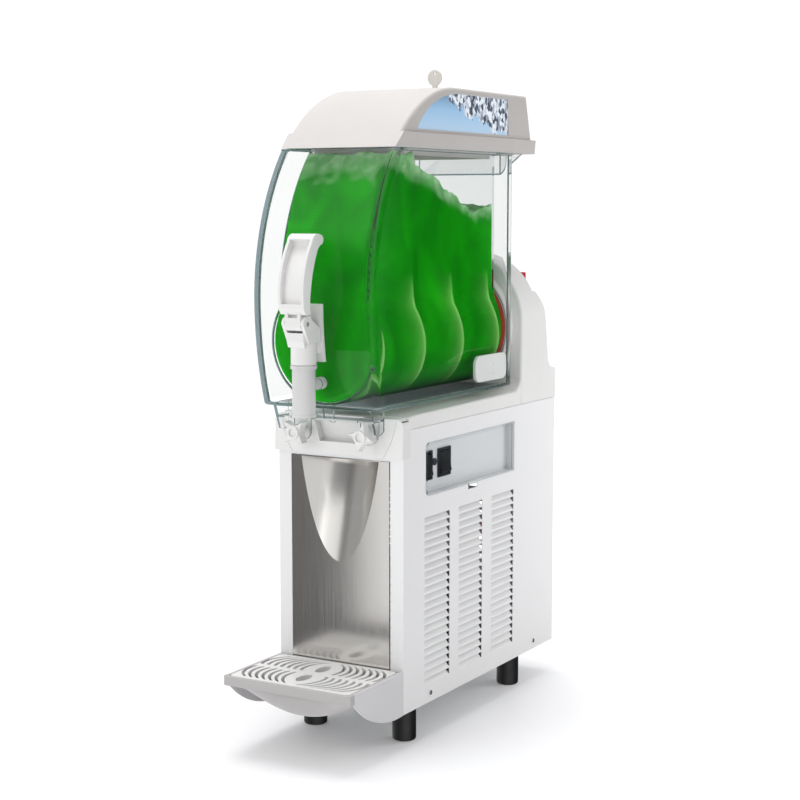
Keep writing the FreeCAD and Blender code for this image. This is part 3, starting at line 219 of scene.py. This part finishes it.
class Shade(Nodes):
    """A material, with short ways to add the patterns that the finishes share."""

    def __init__(self, name, colour, roughness, **surface):
        self.material = bpy.data.materials.new(name)
        self.material.use_nodes = True
        super().__init__(self.material.node_tree)
        self.shader = self.tree.nodes["Principled BSDF"]
        self.shader.inputs["Base Color"].default_value = (*colour, 1.0)
        self.shader.inputs["Roughness"].default_value = roughness
        for setting, value in surface.items():
            self.shader.inputs[setting.replace("_", " ")].default_value = value
        self.place = self.add("TexCoord").outputs["Object"]

    def feed(self, name, source):
        self.fill(self.shader.inputs[name], source)

    def stretched(self, factors):
        node = self.add("Mapping")
        node.inputs["Scale"].default_value = factors
        self.fill(node.inputs["Vector"], self.place)
        return node.outputs["Vector"]

    def noise(self, scale, detail=3.0, stretch=(1, 1, 1), twist=0.0):
        node = self.add("TexNoise")
        node.inputs["Scale"].default_value = scale
        node.inputs["Detail"].default_value = detail
        node.inputs["Distortion"].default_value = twist
        self.fill(node.inputs["Vector"], self.stretched(stretch))
        return node.outputs["Fac"]

    def cells(self, scale, feature="F1", stretch=(1, 1, 1), output="Distance"):
        node = self.add("TexVoronoi")
        node.feature = feature
        node.inputs["Scale"].default_value = scale
        self.fill(node.inputs["Vector"], self.stretched(stretch))
        return node.outputs[output]

    def axis(self, name):
        node = self.add("SeparateXYZ")
        self.fill(node.inputs["Vector"], self.place)
        return node.outputs[name]

    def attribute(self, name):
        node = self.add("Attribute")
        node.attribute_name = name
        return node.outputs["Fac"]

    def ramp(self, value, stops):
        node = self.add("ValToRGB")
        points = node.color_ramp.elements
        while len(points) < len(stops):
            points.new(0.5)
        for point, (position, colour) in zip(points, stops):
            point.position = position
            point.color = (*colour, 1.0)
        self.fill(node.inputs["Fac"], value)
        return node.outputs["Color"]

    def mix(self, share, first, second):
        """A colour between two others. Inputs 6 and 7 and output 2 are the node's colour sockets."""
        node = self.add("Mix")
        node.data_type = "RGBA"
        self.fill(node.inputs["Factor"], share)
        for socket, value in zip((node.inputs[6], node.inputs[7]), (first, second)):
            self.fill(socket, value if isinstance(value, bpy.types.NodeSocket) else (*value, 1.0))
        return node.outputs[2]

    def bump(self, height, strength, depth):
        """Relief on the surface: height varies from 0 to 1 over a depth in millimetres."""
        node = self.add("Bump")
        node.inputs["Strength"].default_value = strength
        node.inputs["Distance"].default_value = depth * MM
        self.fill(node.inputs["Height"], height)
        self.feed("Normal", node.outputs["Normal"])

    def lets_lamps_through(self, tint, edge):
        """Lamps shine straight through, as in thin plastic. Reflected rays see a flat diffuse colour: a
        painted reflection that shows as the wall's edge.
        """
        clear = self.add("BsdfTransparent")
        clear.inputs["Color"].default_value = (*tint, 1.0)
        painted_edge = self.add("BsdfDiffuse")
        painted_edge.inputs["Color"].default_value = (*edge, 1.0)
        rays = self.add("LightPath").outputs
        surface = self.shader.outputs["BSDF"]
        surface = self.blend(rays["Is Reflection Ray"], surface, painted_edge.outputs["BSDF"])
        surface = self.blend(rays["Is Diffuse Ray"], surface, clear.outputs["BSDF"])
        surface = self.blend(rays["Is Shadow Ray"], surface, clear.outputs["BSDF"])
        self.fill(self.tree.nodes["Material Output"].inputs["Surface"], surface)


def scaled(colour, factor):
    return tuple(channel * factor for channel in colour)


def moulded(name, colour, roughness, grain=900.0, depth=0.01, **surface):
    """Moulded plastic or rubber: faint mottling, uneven gloss and a fine skin."""
    shade = Shade(name, colour, roughness, **surface)
    cloud = shade.noise(14.0, 4.0)
    shade.feed("Base Color", shade.ramp(cloud, ((0.25, scaled(colour, 0.955)), (0.75, colour))))
    shade.feed("Roughness", shade.spread(shade.noise(60.0), (0.3, 0.7), (roughness * 0.85, roughness * 1.2)))
    shade.bump(shade.noise(grain, 2.0), 0.25, depth)
    return shade.material


def white_paint():
    colour = (0.80, 0.80, 0.805)
    shade = Shade("white_paint", colour, 0.42, Coat_Weight=0.25, Coat_Roughness=0.3)
    # Patchy darker, browner colour towards the bottom: strongest below 5 cm and gone above 16 cm
    low_darkening = shade.spread(shade.axis("Z"), (0.05, 0.16), (1.0, 0.0))
    low_darkening = shade.maths("MULTIPLY", low_darkening, shade.noise(30.0, 5.0))
    shade.feed("Base Color", shade.mix(shade.maths("MULTIPLY", low_darkening, 0.22), colour, (0.62, 0.60, 0.57)))
    shade.feed("Roughness", shade.spread(shade.noise(35.0), (0.3, 0.7), (0.38, 0.5)))
    shade.bump(shade.noise(1500.0, 2.0), 0.3, 0.03)
    return shade.material


def white_plastic():
    return moulded("white_plastic", (0.80, 0.795, 0.785), 0.38, Coat_Weight=0.35, Coat_Roughness=0.12)


def grey_plastic():
    return moulded("grey_plastic", (0.60, 0.575, 0.56), 0.38, Coat_Weight=0.15, Coat_Roughness=0.25)


def clear_plastic():
    shade = Shade("clear_plastic", (0.992, 0.998, 0.995), 0.0, IOR=1.29, Transmission_Weight=1.0)
    shade.feed("Roughness", shade.spread(shade.noise(50.0), (0.45, 0.75), (0.0, 0.04)))
    shade.bump(shade.noise(11.0, 1.0), 0.25, 1.0)
    # The second colour is the painted reflection at the bowl's edges: a grey blue that reflected rays see
    shade.lets_lamps_through((0.985, 0.995, 0.99), (0.21, 0.265, 0.285))
    return shade.material


def lit_panel():
    """Backlit print: a pale blue sky with broken ice in its upper rear corner."""
    shade = Shade("lit_panel", (0.5, 0.7, 0.9), 0.2, Coat_Weight=0.4, Emission_Strength=0.2)
    low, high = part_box("lid_windows")
    sky = shade.ramp(shade.spread(shade.axis("Z"), (low.z, high.z), (0, 1)),
                     ((0.0, (0.50, 0.68, 0.86)), (0.55, (0.36, 0.58, 0.82)), (1.0, (0.20, 0.33, 0.50))))
    facets = shade.cells(210.0, stretch=(1.0, 1.0, 0.75), output="Color")
    ice = shade.ramp(facets, ((0.3, (0.09, 0.105, 0.15)), (0.4, (0.34, 0.38, 0.47)),
                              (0.52, (0.62, 0.68, 0.77)), (0.75, (0.86, 0.92, 0.97))))
    rear = shade.spread(shade.axis("Y"), (low.y, high.y), (-0.95, 0.75))
    top = shade.spread(shade.axis("Z"), (low.z, high.z), (-0.35, 0.75))
    rough = shade.spread(shade.noise(45.0, 4.0), (0.3, 0.7), (-0.25, 0.25))
    share = shade.maths("ADD", shade.maths("ADD", rear, top), rough)
    picture = shade.mix(shade.spread(share, (0.18, 0.30), (0.0, 1.0)), sky, ice)
    shade.feed("Base Color", picture)
    shade.feed("Emission Color", picture)
    return shade.material


def lamp():
    shade = Shade("lamp", (0.9, 0.92, 0.95), 0.4, Emission_Strength=1.5)
    glow = shade.ramp(shade.noise(80.0), ((0.3, (0.85, 0.92, 1.0)), (0.7, (1.0, 1.0, 1.0))))
    shade.feed("Emission Color", glow)
    return shade.material


def dark_lens():
    return moulded("dark_lens", (0.05, 0.055, 0.075), 0.08, depth=0.005, Coat_Weight=0.6)


def brushed(name, colour, roughness, stretch, depth=0.02, lean=0.55, contrast=0.80):
    """Brushed or drawn metal: long fine scratches along one direction."""
    shade = Shade(name, colour, roughness, Metallic=1.0, Anisotropic=lean)
    grain = shade.noise(700.0, 6.0, stretch)
    broad = shade.noise(60.0, 3.0, stretch)
    tone = shade.maths("ADD", shade.maths("MULTIPLY", grain, 0.7), shade.maths("MULTIPLY", broad, 0.3))
    shade.feed("Base Color", shade.ramp(tone, ((0.3, scaled(colour, contrast)), (0.7, scaled(colour, 1.04)))))
    shade.feed("Roughness", shade.spread(grain, (0.3, 0.7), (roughness * 0.8, roughness * 1.25)))
    shade.bump(grain, 0.5, depth)
    return shade.material


def stainless():
    return brushed("stainless", (0.60, 0.585, 0.565), 0.2, (2.2, 0.0, 0.012), 0.002, contrast=0.965)


def spring_steel():
    return brushed("spring_steel", (0.55, 0.55, 0.55), 0.25, (1.0, 1.0, 0.1), lean=0.3)


def galvanised():
    shade = Shade("galvanised", (0.58, 0.60, 0.61), 0.45, Metallic=0.9)
    spangle = shade.cells(90.0, output="Color")
    shade.feed("Base Color", shade.ramp(spangle, ((0.2, (0.46, 0.48, 0.50)), (0.8, (0.66, 0.68, 0.69)))))
    shade.feed("Roughness", shade.spread(spangle, (0.2, 0.8), (0.35, 0.55)))
    shade.bump(shade.noise(400.0), 0.2, 0.03)
    return shade.material


def black_rubber():
    return moulded("black_rubber", (0.009, 0.009, 0.010), 0.5, depth=0.05)


def black_plastic():
    return moulded("black_plastic", (0.02, 0.02, 0.023), 0.4, depth=0.04)


def red_rubber():
    return moulded("red_rubber", (0.36, 0.028, 0.012), 0.42, depth=0.05)


def red_plastic():
    return moulded("red_plastic", (0.55, 0.012, 0.012), 0.38, Coat_Weight=0.3)


def copper():
    return brushed("copper", (0.75, 0.36, 0.22), 0.3, (1.0, 0.05, 1.0), lean=0.2)


def aluminium():
    return brushed("aluminium", (0.72, 0.73, 0.74), 0.35, (1.0, 0.1, 1.0), lean=0.2)


def motor_paint():
    return moulded("motor_paint", (0.02, 0.02, 0.024), 0.35, 500.0, 0.05, Coat_Weight=0.3)


def gear_steel():
    return brushed("gear_steel", (0.42, 0.42, 0.43), 0.35, (0.15, 1.0, 0.15), lean=0.2)


def circuit_board():
    shade = Shade("circuit_board", (0.02, 0.17, 0.06), 0.35, Coat_Weight=0.4)
    tracks = shade.cells(260.0, "DISTANCE_TO_EDGE")
    shade.feed("Base Color", shade.ramp(tracks, ((0.02, (0.10, 0.32, 0.14)), (0.06, (0.02, 0.16, 0.06)))))
    shade.bump(tracks, 0.3, 0.05)
    return shade.material


def brass():
    return brushed("brass", (0.70, 0.66, 0.58), 0.2, (1.0, 1.0, 0.1), lean=0.2)


def key_plastic():
    return moulded("key_plastic", (0.74, 0.71, 0.66), 0.38, Coat_Weight=0.3)


# The drip tray is white plastic. This mid grey is painted shade: it darkens the basin seen through the grid's
# slots, and the tray's lip with it.
def tray_plastic_painted_shade():
    return moulded("tray_plastic_painted_shade", (0.47, 0.455, 0.45), 0.4, Coat_Weight=0.2, Coat_Roughness=0.25)


def satin_panel():
    return moulded("satin_panel", (0.78, 0.78, 0.80), 0.38, Coat_Weight=0.2)


# The tray bracket is white plastic. This darker lavender grey is painted shade on its low, side-facing
# surfaces.
def bracket_plastic_painted_shade():
    return moulded("bracket_plastic_painted_shade", (0.66, 0.65, 0.665), 0.4, Coat_Weight=0.2, Coat_Roughness=0.25)


def milky_plastic():
    """The tap's tube: thick satin plastic that lets a little light through and hides what moves inside it."""
    shade = Shade("milky_plastic", (0.80, 0.80, 0.79), 0.4, Transmission_Weight=0.25, Coat_Weight=0.6)
    shade.feed("Roughness", shade.spread(shade.noise(80.0), (0.3, 0.7), (0.35, 0.5)))
    shade.bump(shade.noise(600.0, 2.0), 0.2, 0.02)
    return shade.material


def slush():
    """Half-frozen green drink: packed crystals, paler where it is aerated or frosted."""
    deep = (0.0, 0.235, 0.0)
    bright = (0.006, 0.46, 0.0)
    shade = Shade("slush", deep, 0.4, Subsurface_Weight=0.35, Subsurface_Scale=0.012, Specular_IOR_Level=0.15)
    shade.shader.inputs["Subsurface Radius"].default_value = (0.15, 1.0, 0.15)
    body = shade.ramp(shade.noise(16.0, 5.0, (1, 1, 0.6), 0.6), ((0.4, deep), (0.8, bright)))
    crystals = shade.cells(420.0)
    body = shade.mix(shade.spread(crystals, (0.0, 0.35), (0.10, 0.0)), body, (0.04, 0.50, 0.02))
    # The lobes are painted paler: partly the drink pressed by the blade, partly a painted highlight and
    # painted shade on its ridges
    body = shade.mix(shade.attribute("lobe_pale_and_painted_light"), body, (0.34, 0.86, 0.20))
    patches = shade.spread(shade.noise(55.0, 6.0), (0.35, 0.65), (0.35, 1.0))
    frost = shade.maths("MULTIPLY", shade.attribute("frost"), patches)
    shade.feed("Base Color", shade.mix(frost, body, (0.60, 0.93, 0.56)))
    shade.feed("Roughness", shade.spread(crystals, (0.1, 0.5), (0.2, 0.45)))
    shade.bump(shade.noise(260.0, 5.0), 0.35, 0.5)
    return shade.material


FINISHES = {maker.__name__: maker() for maker in (
    white_paint, white_plastic, grey_plastic, clear_plastic, lit_panel, lamp, dark_lens, stainless,
    spring_steel, galvanised, black_rubber, black_plastic, red_rubber, red_plastic, copper, aluminium,
    motor_paint, gear_steel, circuit_board, brass, key_plastic)}


# CAD nodes: finishes, and softened edges where the real part has them, with their widths in millimetres

BEVELS = {"tap_handle": 1.0, "knob_right": 1.0, "knob_left": 1.0, "drip_grid": 0.5, "drip_tray": 0.6,
          "rear_cover": 2.0, "lid_shell": 0.8, "tap_bonnet": 0.7, "tap_piston": 0.5, "rocker_front": 0.6,
          "rocker_rear": 0.6, "switch_bodies": 0.4, "tap_tube": 0.5, "key": 0.3, "window_door": 0.25,
          "tray_bracket": 0.5, "lid_windows": 0.2, "bowl_outer": 0.6, "bowl_inner": 0.6, "front_housing": 0.4,
          "column_shell": 0.5, "feet": 0.8, "power_inlet": 0.5, "drum_flange": 0.5}
# The drip tray and the tray bracket take darker greys than their white plastic: painted shade
OWN_FINISHES = {"drip_tray": tray_plastic_painted_shade(), "tray_bracket": bracket_plastic_painted_shade(), "tap_tube": milky_plastic(),
                "switch_panel": satin_panel()}


def finish_cad_nodes():
    """Each node takes its own finish, or the one of its slot in the record."""
    for row in frame["record"]["subparts"]:
        node = frame["nodes"][row["node"]]
        for slot in node.material_slots:
            slot.material = OWN_FINISHES.get(row["node"], FINISHES[row["material_slot"]])
        if row["node"] in BEVELS:
            bevel = node.modifiers.new("softened_edges", "BEVEL")
            bevel.width = BEVELS[row["node"]] * MM
            bevel.segments = 2
            bevel.limit_method = "ANGLE"
            bevel.angle_limit = BEVEL_ANGLE
            bevel.harden_normals = True
            bevel.use_clamp_overlap = True


# Shapes and pieces

def share_of(value, low, high):
    """How far a value is on its way from low to high, kept between 0 and 1."""
    return min(max((value - low) / (high - low), 0.0), 1.0)


def steps(low, high, count, crowd=0.0):
    """Even steps, crowded towards both ends when crowd is above 0."""
    for number in range(count + 1):
        share = number / count
        share -= crowd * math.sin(2 * math.pi * share) / (2 * math.pi)
        yield low + (high - low) * share


def add_sheet(mesh, rows):
    """Join a grid of points, given as rows, by quads."""
    grid = [[mesh.verts.new(point) for point in row] for row in rows]
    for upper, lower in zip(grid, grid[1:]):
        for a, b, c, d in zip(upper, upper[1:], lower[1:], lower):
            if len({tuple(v.co) for v in (a, b, c, d)}) > 2:
                mesh.faces.new((a, b, c, d))


def placed(name, data):
    """A new object in the scene."""
    thing = bpy.data.objects.new(name, data)
    bpy.context.collection.objects.link(thing)
    return thing


def closed_object(name, mesh):
    """An object from sheets that meet at their edges."""
    bmesh.ops.remove_doubles(mesh, verts=mesh.verts, dist=WELD)
    bmesh.ops.recalc_face_normals(mesh, faces=mesh.faces)
    data = bpy.data.meshes.new(name)
    mesh.to_mesh(data)
    mesh.free()
    return placed(name, data)


def smooth(data):
    data.shade_smooth()
    data.set_sharp_from_angle(angle=SHARP_ANGLE)


def make_piece(name, mesh, material, body):
    """A smooth closed piece of one material that rides on a body."""
    piece = closed_object(name, mesh)
    piece.data.materials.append(material)
    smooth(piece.data)
    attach(piece, body)
    return piece


# Frozen drink

def soft_maximum(first, second, blend):
    """The larger of two lengths, with a rounded change-over about as wide as blend."""
    near = max(blend - abs(first - second), 0.0) / blend
    return max(first, second) + near * near * blend / 4


def drink_half(z):
    """Half the drink's width at a height: a round chamber below and a narrower tank above, softly joined."""
    rise = z - AXIS_Z
    chamber = math.sqrt(max(DRINK_RADIUS ** 2 - rise ** 2, 0.0))
    return chamber if rise < 0 else soft_maximum(chamber, TANK_HALF, SHOULDER)


def edge_distance(x, z):
    """How far a point of the front is from the drink's outline, seen from the front."""
    if z < AXIS_Z:
        return DRINK_RADIUS - math.hypot(x, z - AXIS_Z)
    return drink_half(z) - abs(x)


def drink_front(x, z):
    """Depth of the drink's front, which follows the vessel's bowed wall and its rounded corners."""
    front = CHAMBER_FRONT
    if z > CREST_Z:
        reach = UPPER_SWEEP + CREST_DEPTH - CHAMBER_FRONT
        front = CHAMBER_FRONT + reach - math.sqrt(reach ** 2 - (z - CREST_Z) ** 2)
    into = TANK_CORNER * (1 - share_of(edge_distance(x, z), 0.0, TANK_CORNER))
    return front + TANK_CORNER - math.sqrt(TANK_CORNER ** 2 - into ** 2)


def drink_rear(z):
    share = share_of(z, CHAMBER_TOP, CHAMBER_TOP + REAR_BLEND)
    return CHAMBER_REAR + share * (TANK_REAR - CHAMBER_REAR)


def waves(form, x, depth):
    """Height of one kind of wave at a place on the surface."""
    height, width, length, seed = form
    return height * noise.noise(Vector((x / width, depth / length, seed)))


def drink_height(x, depth, fine=1.0):
    """The drink's surface: it falls in soft heaps from the front to the rear, with fine crumbs on them."""
    base = DRINK_TOP[-1][1]
    for (near, high), (far, low) in zip(DRINK_TOP, DRINK_TOP[1:]):
        if depth <= far:
            share = max(0.0, (depth - near) / (far - near))
            base = high + (low - high) * share * share * (3 - 2 * share)
            break
    height = base + waves(HEAPS, x, depth) + fine * (waves(CRUMBS, x, depth) + waves(GRAINS, x, depth))
    return min(height, DRINK_LIMIT)


def drink_point(s, t, h):
    """A point of the drink from its share across, from rear to front, and from foot to top."""
    if h < NECK_SHARE:
        z = AXIS_Z - DRINK_RADIUS * math.cos(h / NECK_SHARE * NECK_ANGLE)
    else:
        neck = AXIS_Z - DRINK_RADIUS * math.cos(NECK_ANGLE)
        top = drink_height(s * TANK_HALF, CHAMBER_REAR + t * (SURFACE_FRONT - CHAMBER_REAR))
        z = neck + (h - NECK_SHARE) / (1 - NECK_SHARE) * (top - neck)
    x = s * drink_half(z)
    rear = drink_rear(z)
    return at(x, rear + t * (drink_front(x, z) - rear), z)


def spun(outline, count, reach=None):
    """Rows of points made by turning an outline of radius and depth about the auger's axis."""
    rows = []
    for radius, depth in outline:
        row = []
        for number in range(count + 1):
            angle = 2 * math.pi * number / count
            length = reach(radius, depth, angle) if reach else radius
            row.append(at(length * math.cos(angle), depth, AXIS_Z - length * math.sin(angle)))
        rows.append(row)
    return rows


def cut_away(piece, rows):
    """Take a turned shape out of a piece."""
    mesh = bmesh.new()
    add_sheet(mesh, rows)
    cutter = closed_object("cutter", mesh)
    hollow = piece.modifiers.new("hollow", "BOOLEAN")
    hollow.object = cutter
    hollow.solver = "EXACT"
    bpy.context.view_layer.update()
    seen = piece.evaluated_get(bpy.context.evaluated_depsgraph_get())
    result = bpy.data.meshes.new_from_object(seen)
    piece.modifiers.clear()
    piece.data = result
    smooth(result)
    bpy.data.objects.remove(cutter)


def past_blade(depth, angle):
    """Signed distance behind the auger's nearest turn, at an angle about the axis."""
    turns = (depth - AUGER_START) / AUGER_PITCH - (angle - math.radians(AUGER_TURN)) / (2 * math.pi)
    return (turns - round(turns)) * AUGER_PITCH


def pressed_pale_and_painted_light(off):
    """How pale the drink is behind the blade: paler towards it, with a sharp end past it. Partly the pressed
    drink's colour, partly a painted highlight and painted shade.
    """
    if off < 0:
        return 0.5 * math.exp(off / LOBE_TAIL) + 0.5 * math.exp(off / LOBE_CORE)
    return max(0.0, 1 - off / LOBE_END)


def paint_drink(data):
    """Give each point its shares of frost and of the lobes' paleness, which is partly painted light."""
    frost = data.attributes.new("frost", "FLOAT", "POINT")
    lobe_pale_and_painted_light = data.attributes.new("lobe_pale_and_painted_light", "FLOAT", "POINT")
    for vertex in data.vertices:
        place = vertex.co / MM
        depth = place.y - CASE_FRONT
        below = max(0.0, drink_height(place.x, depth, 0.0) - place.z)
        ahead = share_of(depth, FROST_AHEAD, 0.0)
        uneven = 1 + FROST_UNEVEN * noise.noise(place / FROST_SPOT)
        edge = FROST_DEPTH * (1 + FROST_THICKER * ahead) * uneven
        frost.data[vertex.index].value = (FROST_SHARE + FROST_EXTRA * ahead) * max(0.0, 1 - below / edge)
        off = past_blade(depth, math.atan2(AXIS_Z - place.z, place.x))
        fade = share_of(place.z, LOBE_TOP, LOBE_TOP - LOBE_FADE)
        lobe_pale_and_painted_light.data[vertex.index].value = pressed_pale_and_painted_light(off) * fade if depth > LOBE_FRONT else 0.0


def drink_in_bowl(material):
    """The drink that stands in the bowl, open where the auger turns."""
    across = list(steps(-1.0, 1.0, ACROSS_STEPS, CROWDING))
    back = list(steps(0.0, 1.0, BACK_STEPS))
    up = list(steps(0.0, 1.0, UP_STEPS))
    mesh = bmesh.new()
    add_sheet(mesh, [[drink_point(s, t, 1.0) for s in across] for t in back])
    for s in (-1.0, 1.0):
        add_sheet(mesh, [[drink_point(s, t, h) for t in back] for h in up])
    for t in (0.0, 1.0):
        add_sheet(mesh, [[drink_point(s, t, h) for s in across] for h in up])
    piece = make_piece("slush_in_bowl", mesh, material, "bowl")
    front = CHAMBER_FRONT + BORE_SKIN
    rear = CHAMBER_REAR + BORE_PAST
    bore = [(0.0, front), (AUGER_BORE - BORE_SLOPE_WIDTH, front)]
    bore += [(AUGER_BORE, CHAMBER_FRONT + BORE_SLOPE_END), (AUGER_BORE, rear), (0.0, rear)]
    cut_away(piece, spun(bore, BORE_SIDES))
    paint_drink(piece.data)


def drink_on_auger(material):
    """The drink that turns with the auger, inside its blade and round the drum. It has no frost or lobes."""
    edge = AUGER_BORE - DRINK_GAP
    drum = DRUM_RADIUS + DRINK_GAP
    drum_front = DRUM_FRONT - DRINK_GAP
    seal = SEAL_RADIUS + DRINK_GAP
    seal_front = SEAL_FRONT - DRINK_GAP
    outline = [(0.0, MIX_FRONT)] + [(edge - inset, MIX_FRONT + back) for inset, back in MIX_NOSE]
    outline += [(edge, depth) for depth in steps(MIX_FRONT + MIX_START, MIX_REAR - MIX_CORNER, MIX_STEPS)]
    outline += [(edge - 1.0, MIX_REAR), (drum + 0.6, MIX_REAR), (drum, MIX_REAR - 1.0), (drum, drum_front)]
    outline += [(seal, drum_front), (seal, seal_front), (0.0, seal_front)]

    def reach(radius, depth, angle):
        if radius < edge or depth < DIP_FRONT:
            return radius
        return radius - DIP * share_of(abs(past_blade(depth, angle)), DIP_START, DIP_END)

    mesh = bmesh.new()
    add_sheet(mesh, spun(outline, MIX_SIDES, reach))
    piece = make_piece("slush_on_auger", mesh, material, "auger")
    for name in ("frost", "lobe_pale_and_painted_light"):
        piece.data.attributes.new(name, "FLOAT", "POINT")


# The tap's spring

def spring_ring(share, low, high):
    """A ring of the spring's wire, at a share of its length. The end turns lie flat."""
    middle = (low + high) / 2
    radius = (high.x - low.x) / 2 - SPRING_WIRE
    angle = 2 * math.pi * SPRING_TURNS * share
    rise = share_of(share * SPRING_TURNS, FLAT_TURN, SPRING_TURNS - FLAT_TURN)
    height = low.z + SPRING_WIRE + rise * (high.z - low.z - 2 * SPRING_WIRE)
    ring = []
    for number in range(SPRING_SIDES + 1):
        turn = 2 * math.pi * number / SPRING_SIDES
        reach = radius + SPRING_WIRE * math.cos(turn)
        place = (reach * math.cos(angle), reach * math.sin(angle), SPRING_WIRE * math.sin(turn))
        ring.append(Vector((middle.x, middle.y, height)) + Vector(place))
    return ring


def tap_spring():
    """The spring in the bonnet. The real one shortens from below as the handle lifts the piston; this coil is
    fixed and rides on the bowl.
    """
    low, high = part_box("tap_spring")
    count = round(SPRING_TURNS * SPRING_STEPS)
    rings = [spring_ring(number / count, low, high) for number in range(count + 1)]
    for place, ring in ((0, rings[0]), (len(rings) + 1, rings[-1])):
        centre = sum(ring[:-1], Vector()) / SPRING_SIDES
        rings.insert(place, [centre] * len(ring))
    mesh = bmesh.new()
    add_sheet(mesh, rings)
    spring = make_piece("tap_spring_coil", mesh, FINISHES["spring_steel"], "bowl")
    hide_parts("tap_spring")
    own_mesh(spring)


# Studio

def make_world():
    """A white studio. What is mirrored is bright above, at the sides and rear left, and dark elsewhere."""
    world = bpy.data.worlds.new("studio")
    bpy.context.scene.world = world
    world.use_nodes = True
    nodes = Nodes(world.node_tree)
    nodes.tree.nodes.remove(nodes.tree.nodes["Background"])
    split = nodes.add("SeparateXYZ")
    nodes.fill(split.inputs["Vector"], nodes.add("TexCoord").outputs["Generated"])
    x, y, z = split.outputs

    def eased(direction, source, target):
        return nodes.spread(direction, source, target, "SMOOTHSTEP")

    def glow(strength, colour=(1.0, 1.0, 1.0)):
        node = nodes.add("Background")
        node.inputs["Color"].default_value = (*colour, 1.0)
        nodes.fill(node.inputs["Strength"], strength)
        return node.outputs["Background"]

    right = eased(x, (0.0, 0.35), (0.0, 0.95))
    left = eased(x, (-0.45, -0.75), (0.0, 0.45))
    rear_left = eased(x, (0.1, -0.3), (0.0, 0.9))
    above = eased(z, (0.2, 0.5), (0.0, 1.2))
    front = eased(y, (0.25, -0.25), (0.0, 1.0))
    sides = nodes.maths("ADD", nodes.maths("ADD", left, right), 0.04)
    ahead = nodes.maths("MULTIPLY", front, nodes.maths("MAXIMUM", sides, above))
    behind = nodes.maths("MULTIPLY", nodes.maths("SUBTRACT", 1.0, front), rear_left)
    mirrored = nodes.maths("ADD", ahead, behind)
    soft = eased(z, (-0.3, 1.0), (0.30, 0.85))

    rays = nodes.add("LightPath").outputs
    straight = nodes.maths("MAXIMUM", rays["Is Camera Ray"], rays["Is Transmission Ray"])
    once = nodes.maths("GREATER_THAN", rays["Glossy Depth"], 0.5)
    twice = nodes.maths("GREATER_THAN", rays["Glossy Depth"], 1.5)
    seen = nodes.blend(straight, glow(soft, (0.99, 0.99, 1.0)), glow(1.05))
    seen = nodes.blend(once, seen, glow(mirrored))
    seen = nodes.blend(twice, seen, glow(0.8))
    nodes.fill(nodes.tree.nodes["World Output"].inputs["Surface"], seen)


def make_floor():
    """A pale floor that melts into the white studio. It isn't mirrored in the machine."""
    mesh = bmesh.new()
    left, right = FLOOR_X
    near, far = FLOOR_Y
    corners = ((left, near), (right, near), (right, far), (left, far))
    mesh.faces.new([mesh.verts.new((x, y, 0.0)) for x, y in corners])
    bmesh.ops.subdivide_edges(mesh, edges=mesh.edges, cuts=FLOOR_CUTS, use_grid_fill=True)
    data = bpy.data.meshes.new("floor")
    mesh.to_mesh(data)
    mesh.free()
    shade = Shade("floor", (0.80, 0.80, 0.81), 0.7, Specular_IOR_Level=0.1)
    shade.shader.inputs["Emission Color"].default_value = (1.0, 1.0, 1.0, 1.0)
    painted_shade_distance = shade.add("VectorMath")
    painted_shade_distance.operation = "LENGTH"
    shade.fill(painted_shade_distance.inputs[0], shade.place)
    # The floor's glow grows with distance from the floor's origin below the machine: painted shade that
    # darkens the floor about the machine, and a painted glow that keeps the far floor white
    shade.feed("Emission Strength", shade.spread(painted_shade_distance.outputs["Value"], (0.15, 1.1), (0.10, 0.60)))
    shade.feed("Roughness", shade.spread(shade.noise(3.0), (0.3, 0.7), (0.5, 0.6)))
    data.materials.append(shade.material)
    floor = placed("floor", data)
    floor.visible_glossy = False


def area_light(name, place, size, power, aim, only_mirrored=False):
    """A soft box that faces a point. It lights the machine, or only shows in its gloss."""
    data = bpy.data.lights.new(name, "AREA")
    data.shape = "RECTANGLE"
    data.size, data.size_y = size
    data.energy = power
    light = placed(name, data)
    light.location = place
    light.rotation_euler = (aim - light.location).to_track_quat("-Z", "Y").to_euler()
    light.visible_camera = False
    light.visible_glossy = only_mirrored
    light.visible_diffuse = not only_mirrored
    light.visible_transmission = False


def make_lights():
    middle = (cad_low + cad_high) / 2
    panel = sum(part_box("splash_panel"), Vector()) / 2
    area_light("key", (-1.1, -2.2, 1.3), (1.4, 1.4), 14.0, middle)
    area_light("top", (-0.3, 0.1, 2.8), (1.6, 1.6), 36.0, middle)
    area_light("side", (0.75, 0.75, 0.50), (0.5, 0.5), 3.4, middle)
    area_light("low", (-0.03, -0.50, 0.25), (0.28, 0.36), 0.36, panel, only_mirrored=True)


def make_camera():
    data = bpy.data.cameras.new("camera")
    data.lens = CAMERA_LENS
    data.sensor_width = CAMERA_SENSOR
    camera = placed("camera", data)
    camera.location = CAMERA_PLACE
    camera.rotation_euler = (math.radians(90 + CAMERA_PITCH), 0.0, math.radians(CAMERA_YAW))
    bpy.context.scene.camera = camera


bpy.context.scene.view_settings.view_transform = "Standard"
make_camera()
make_world()
make_floor()
make_lights()
finish_cad_nodes()
drink = slush()
drink_in_bowl(drink)
drink_on_auger(drink)
tap_spring()
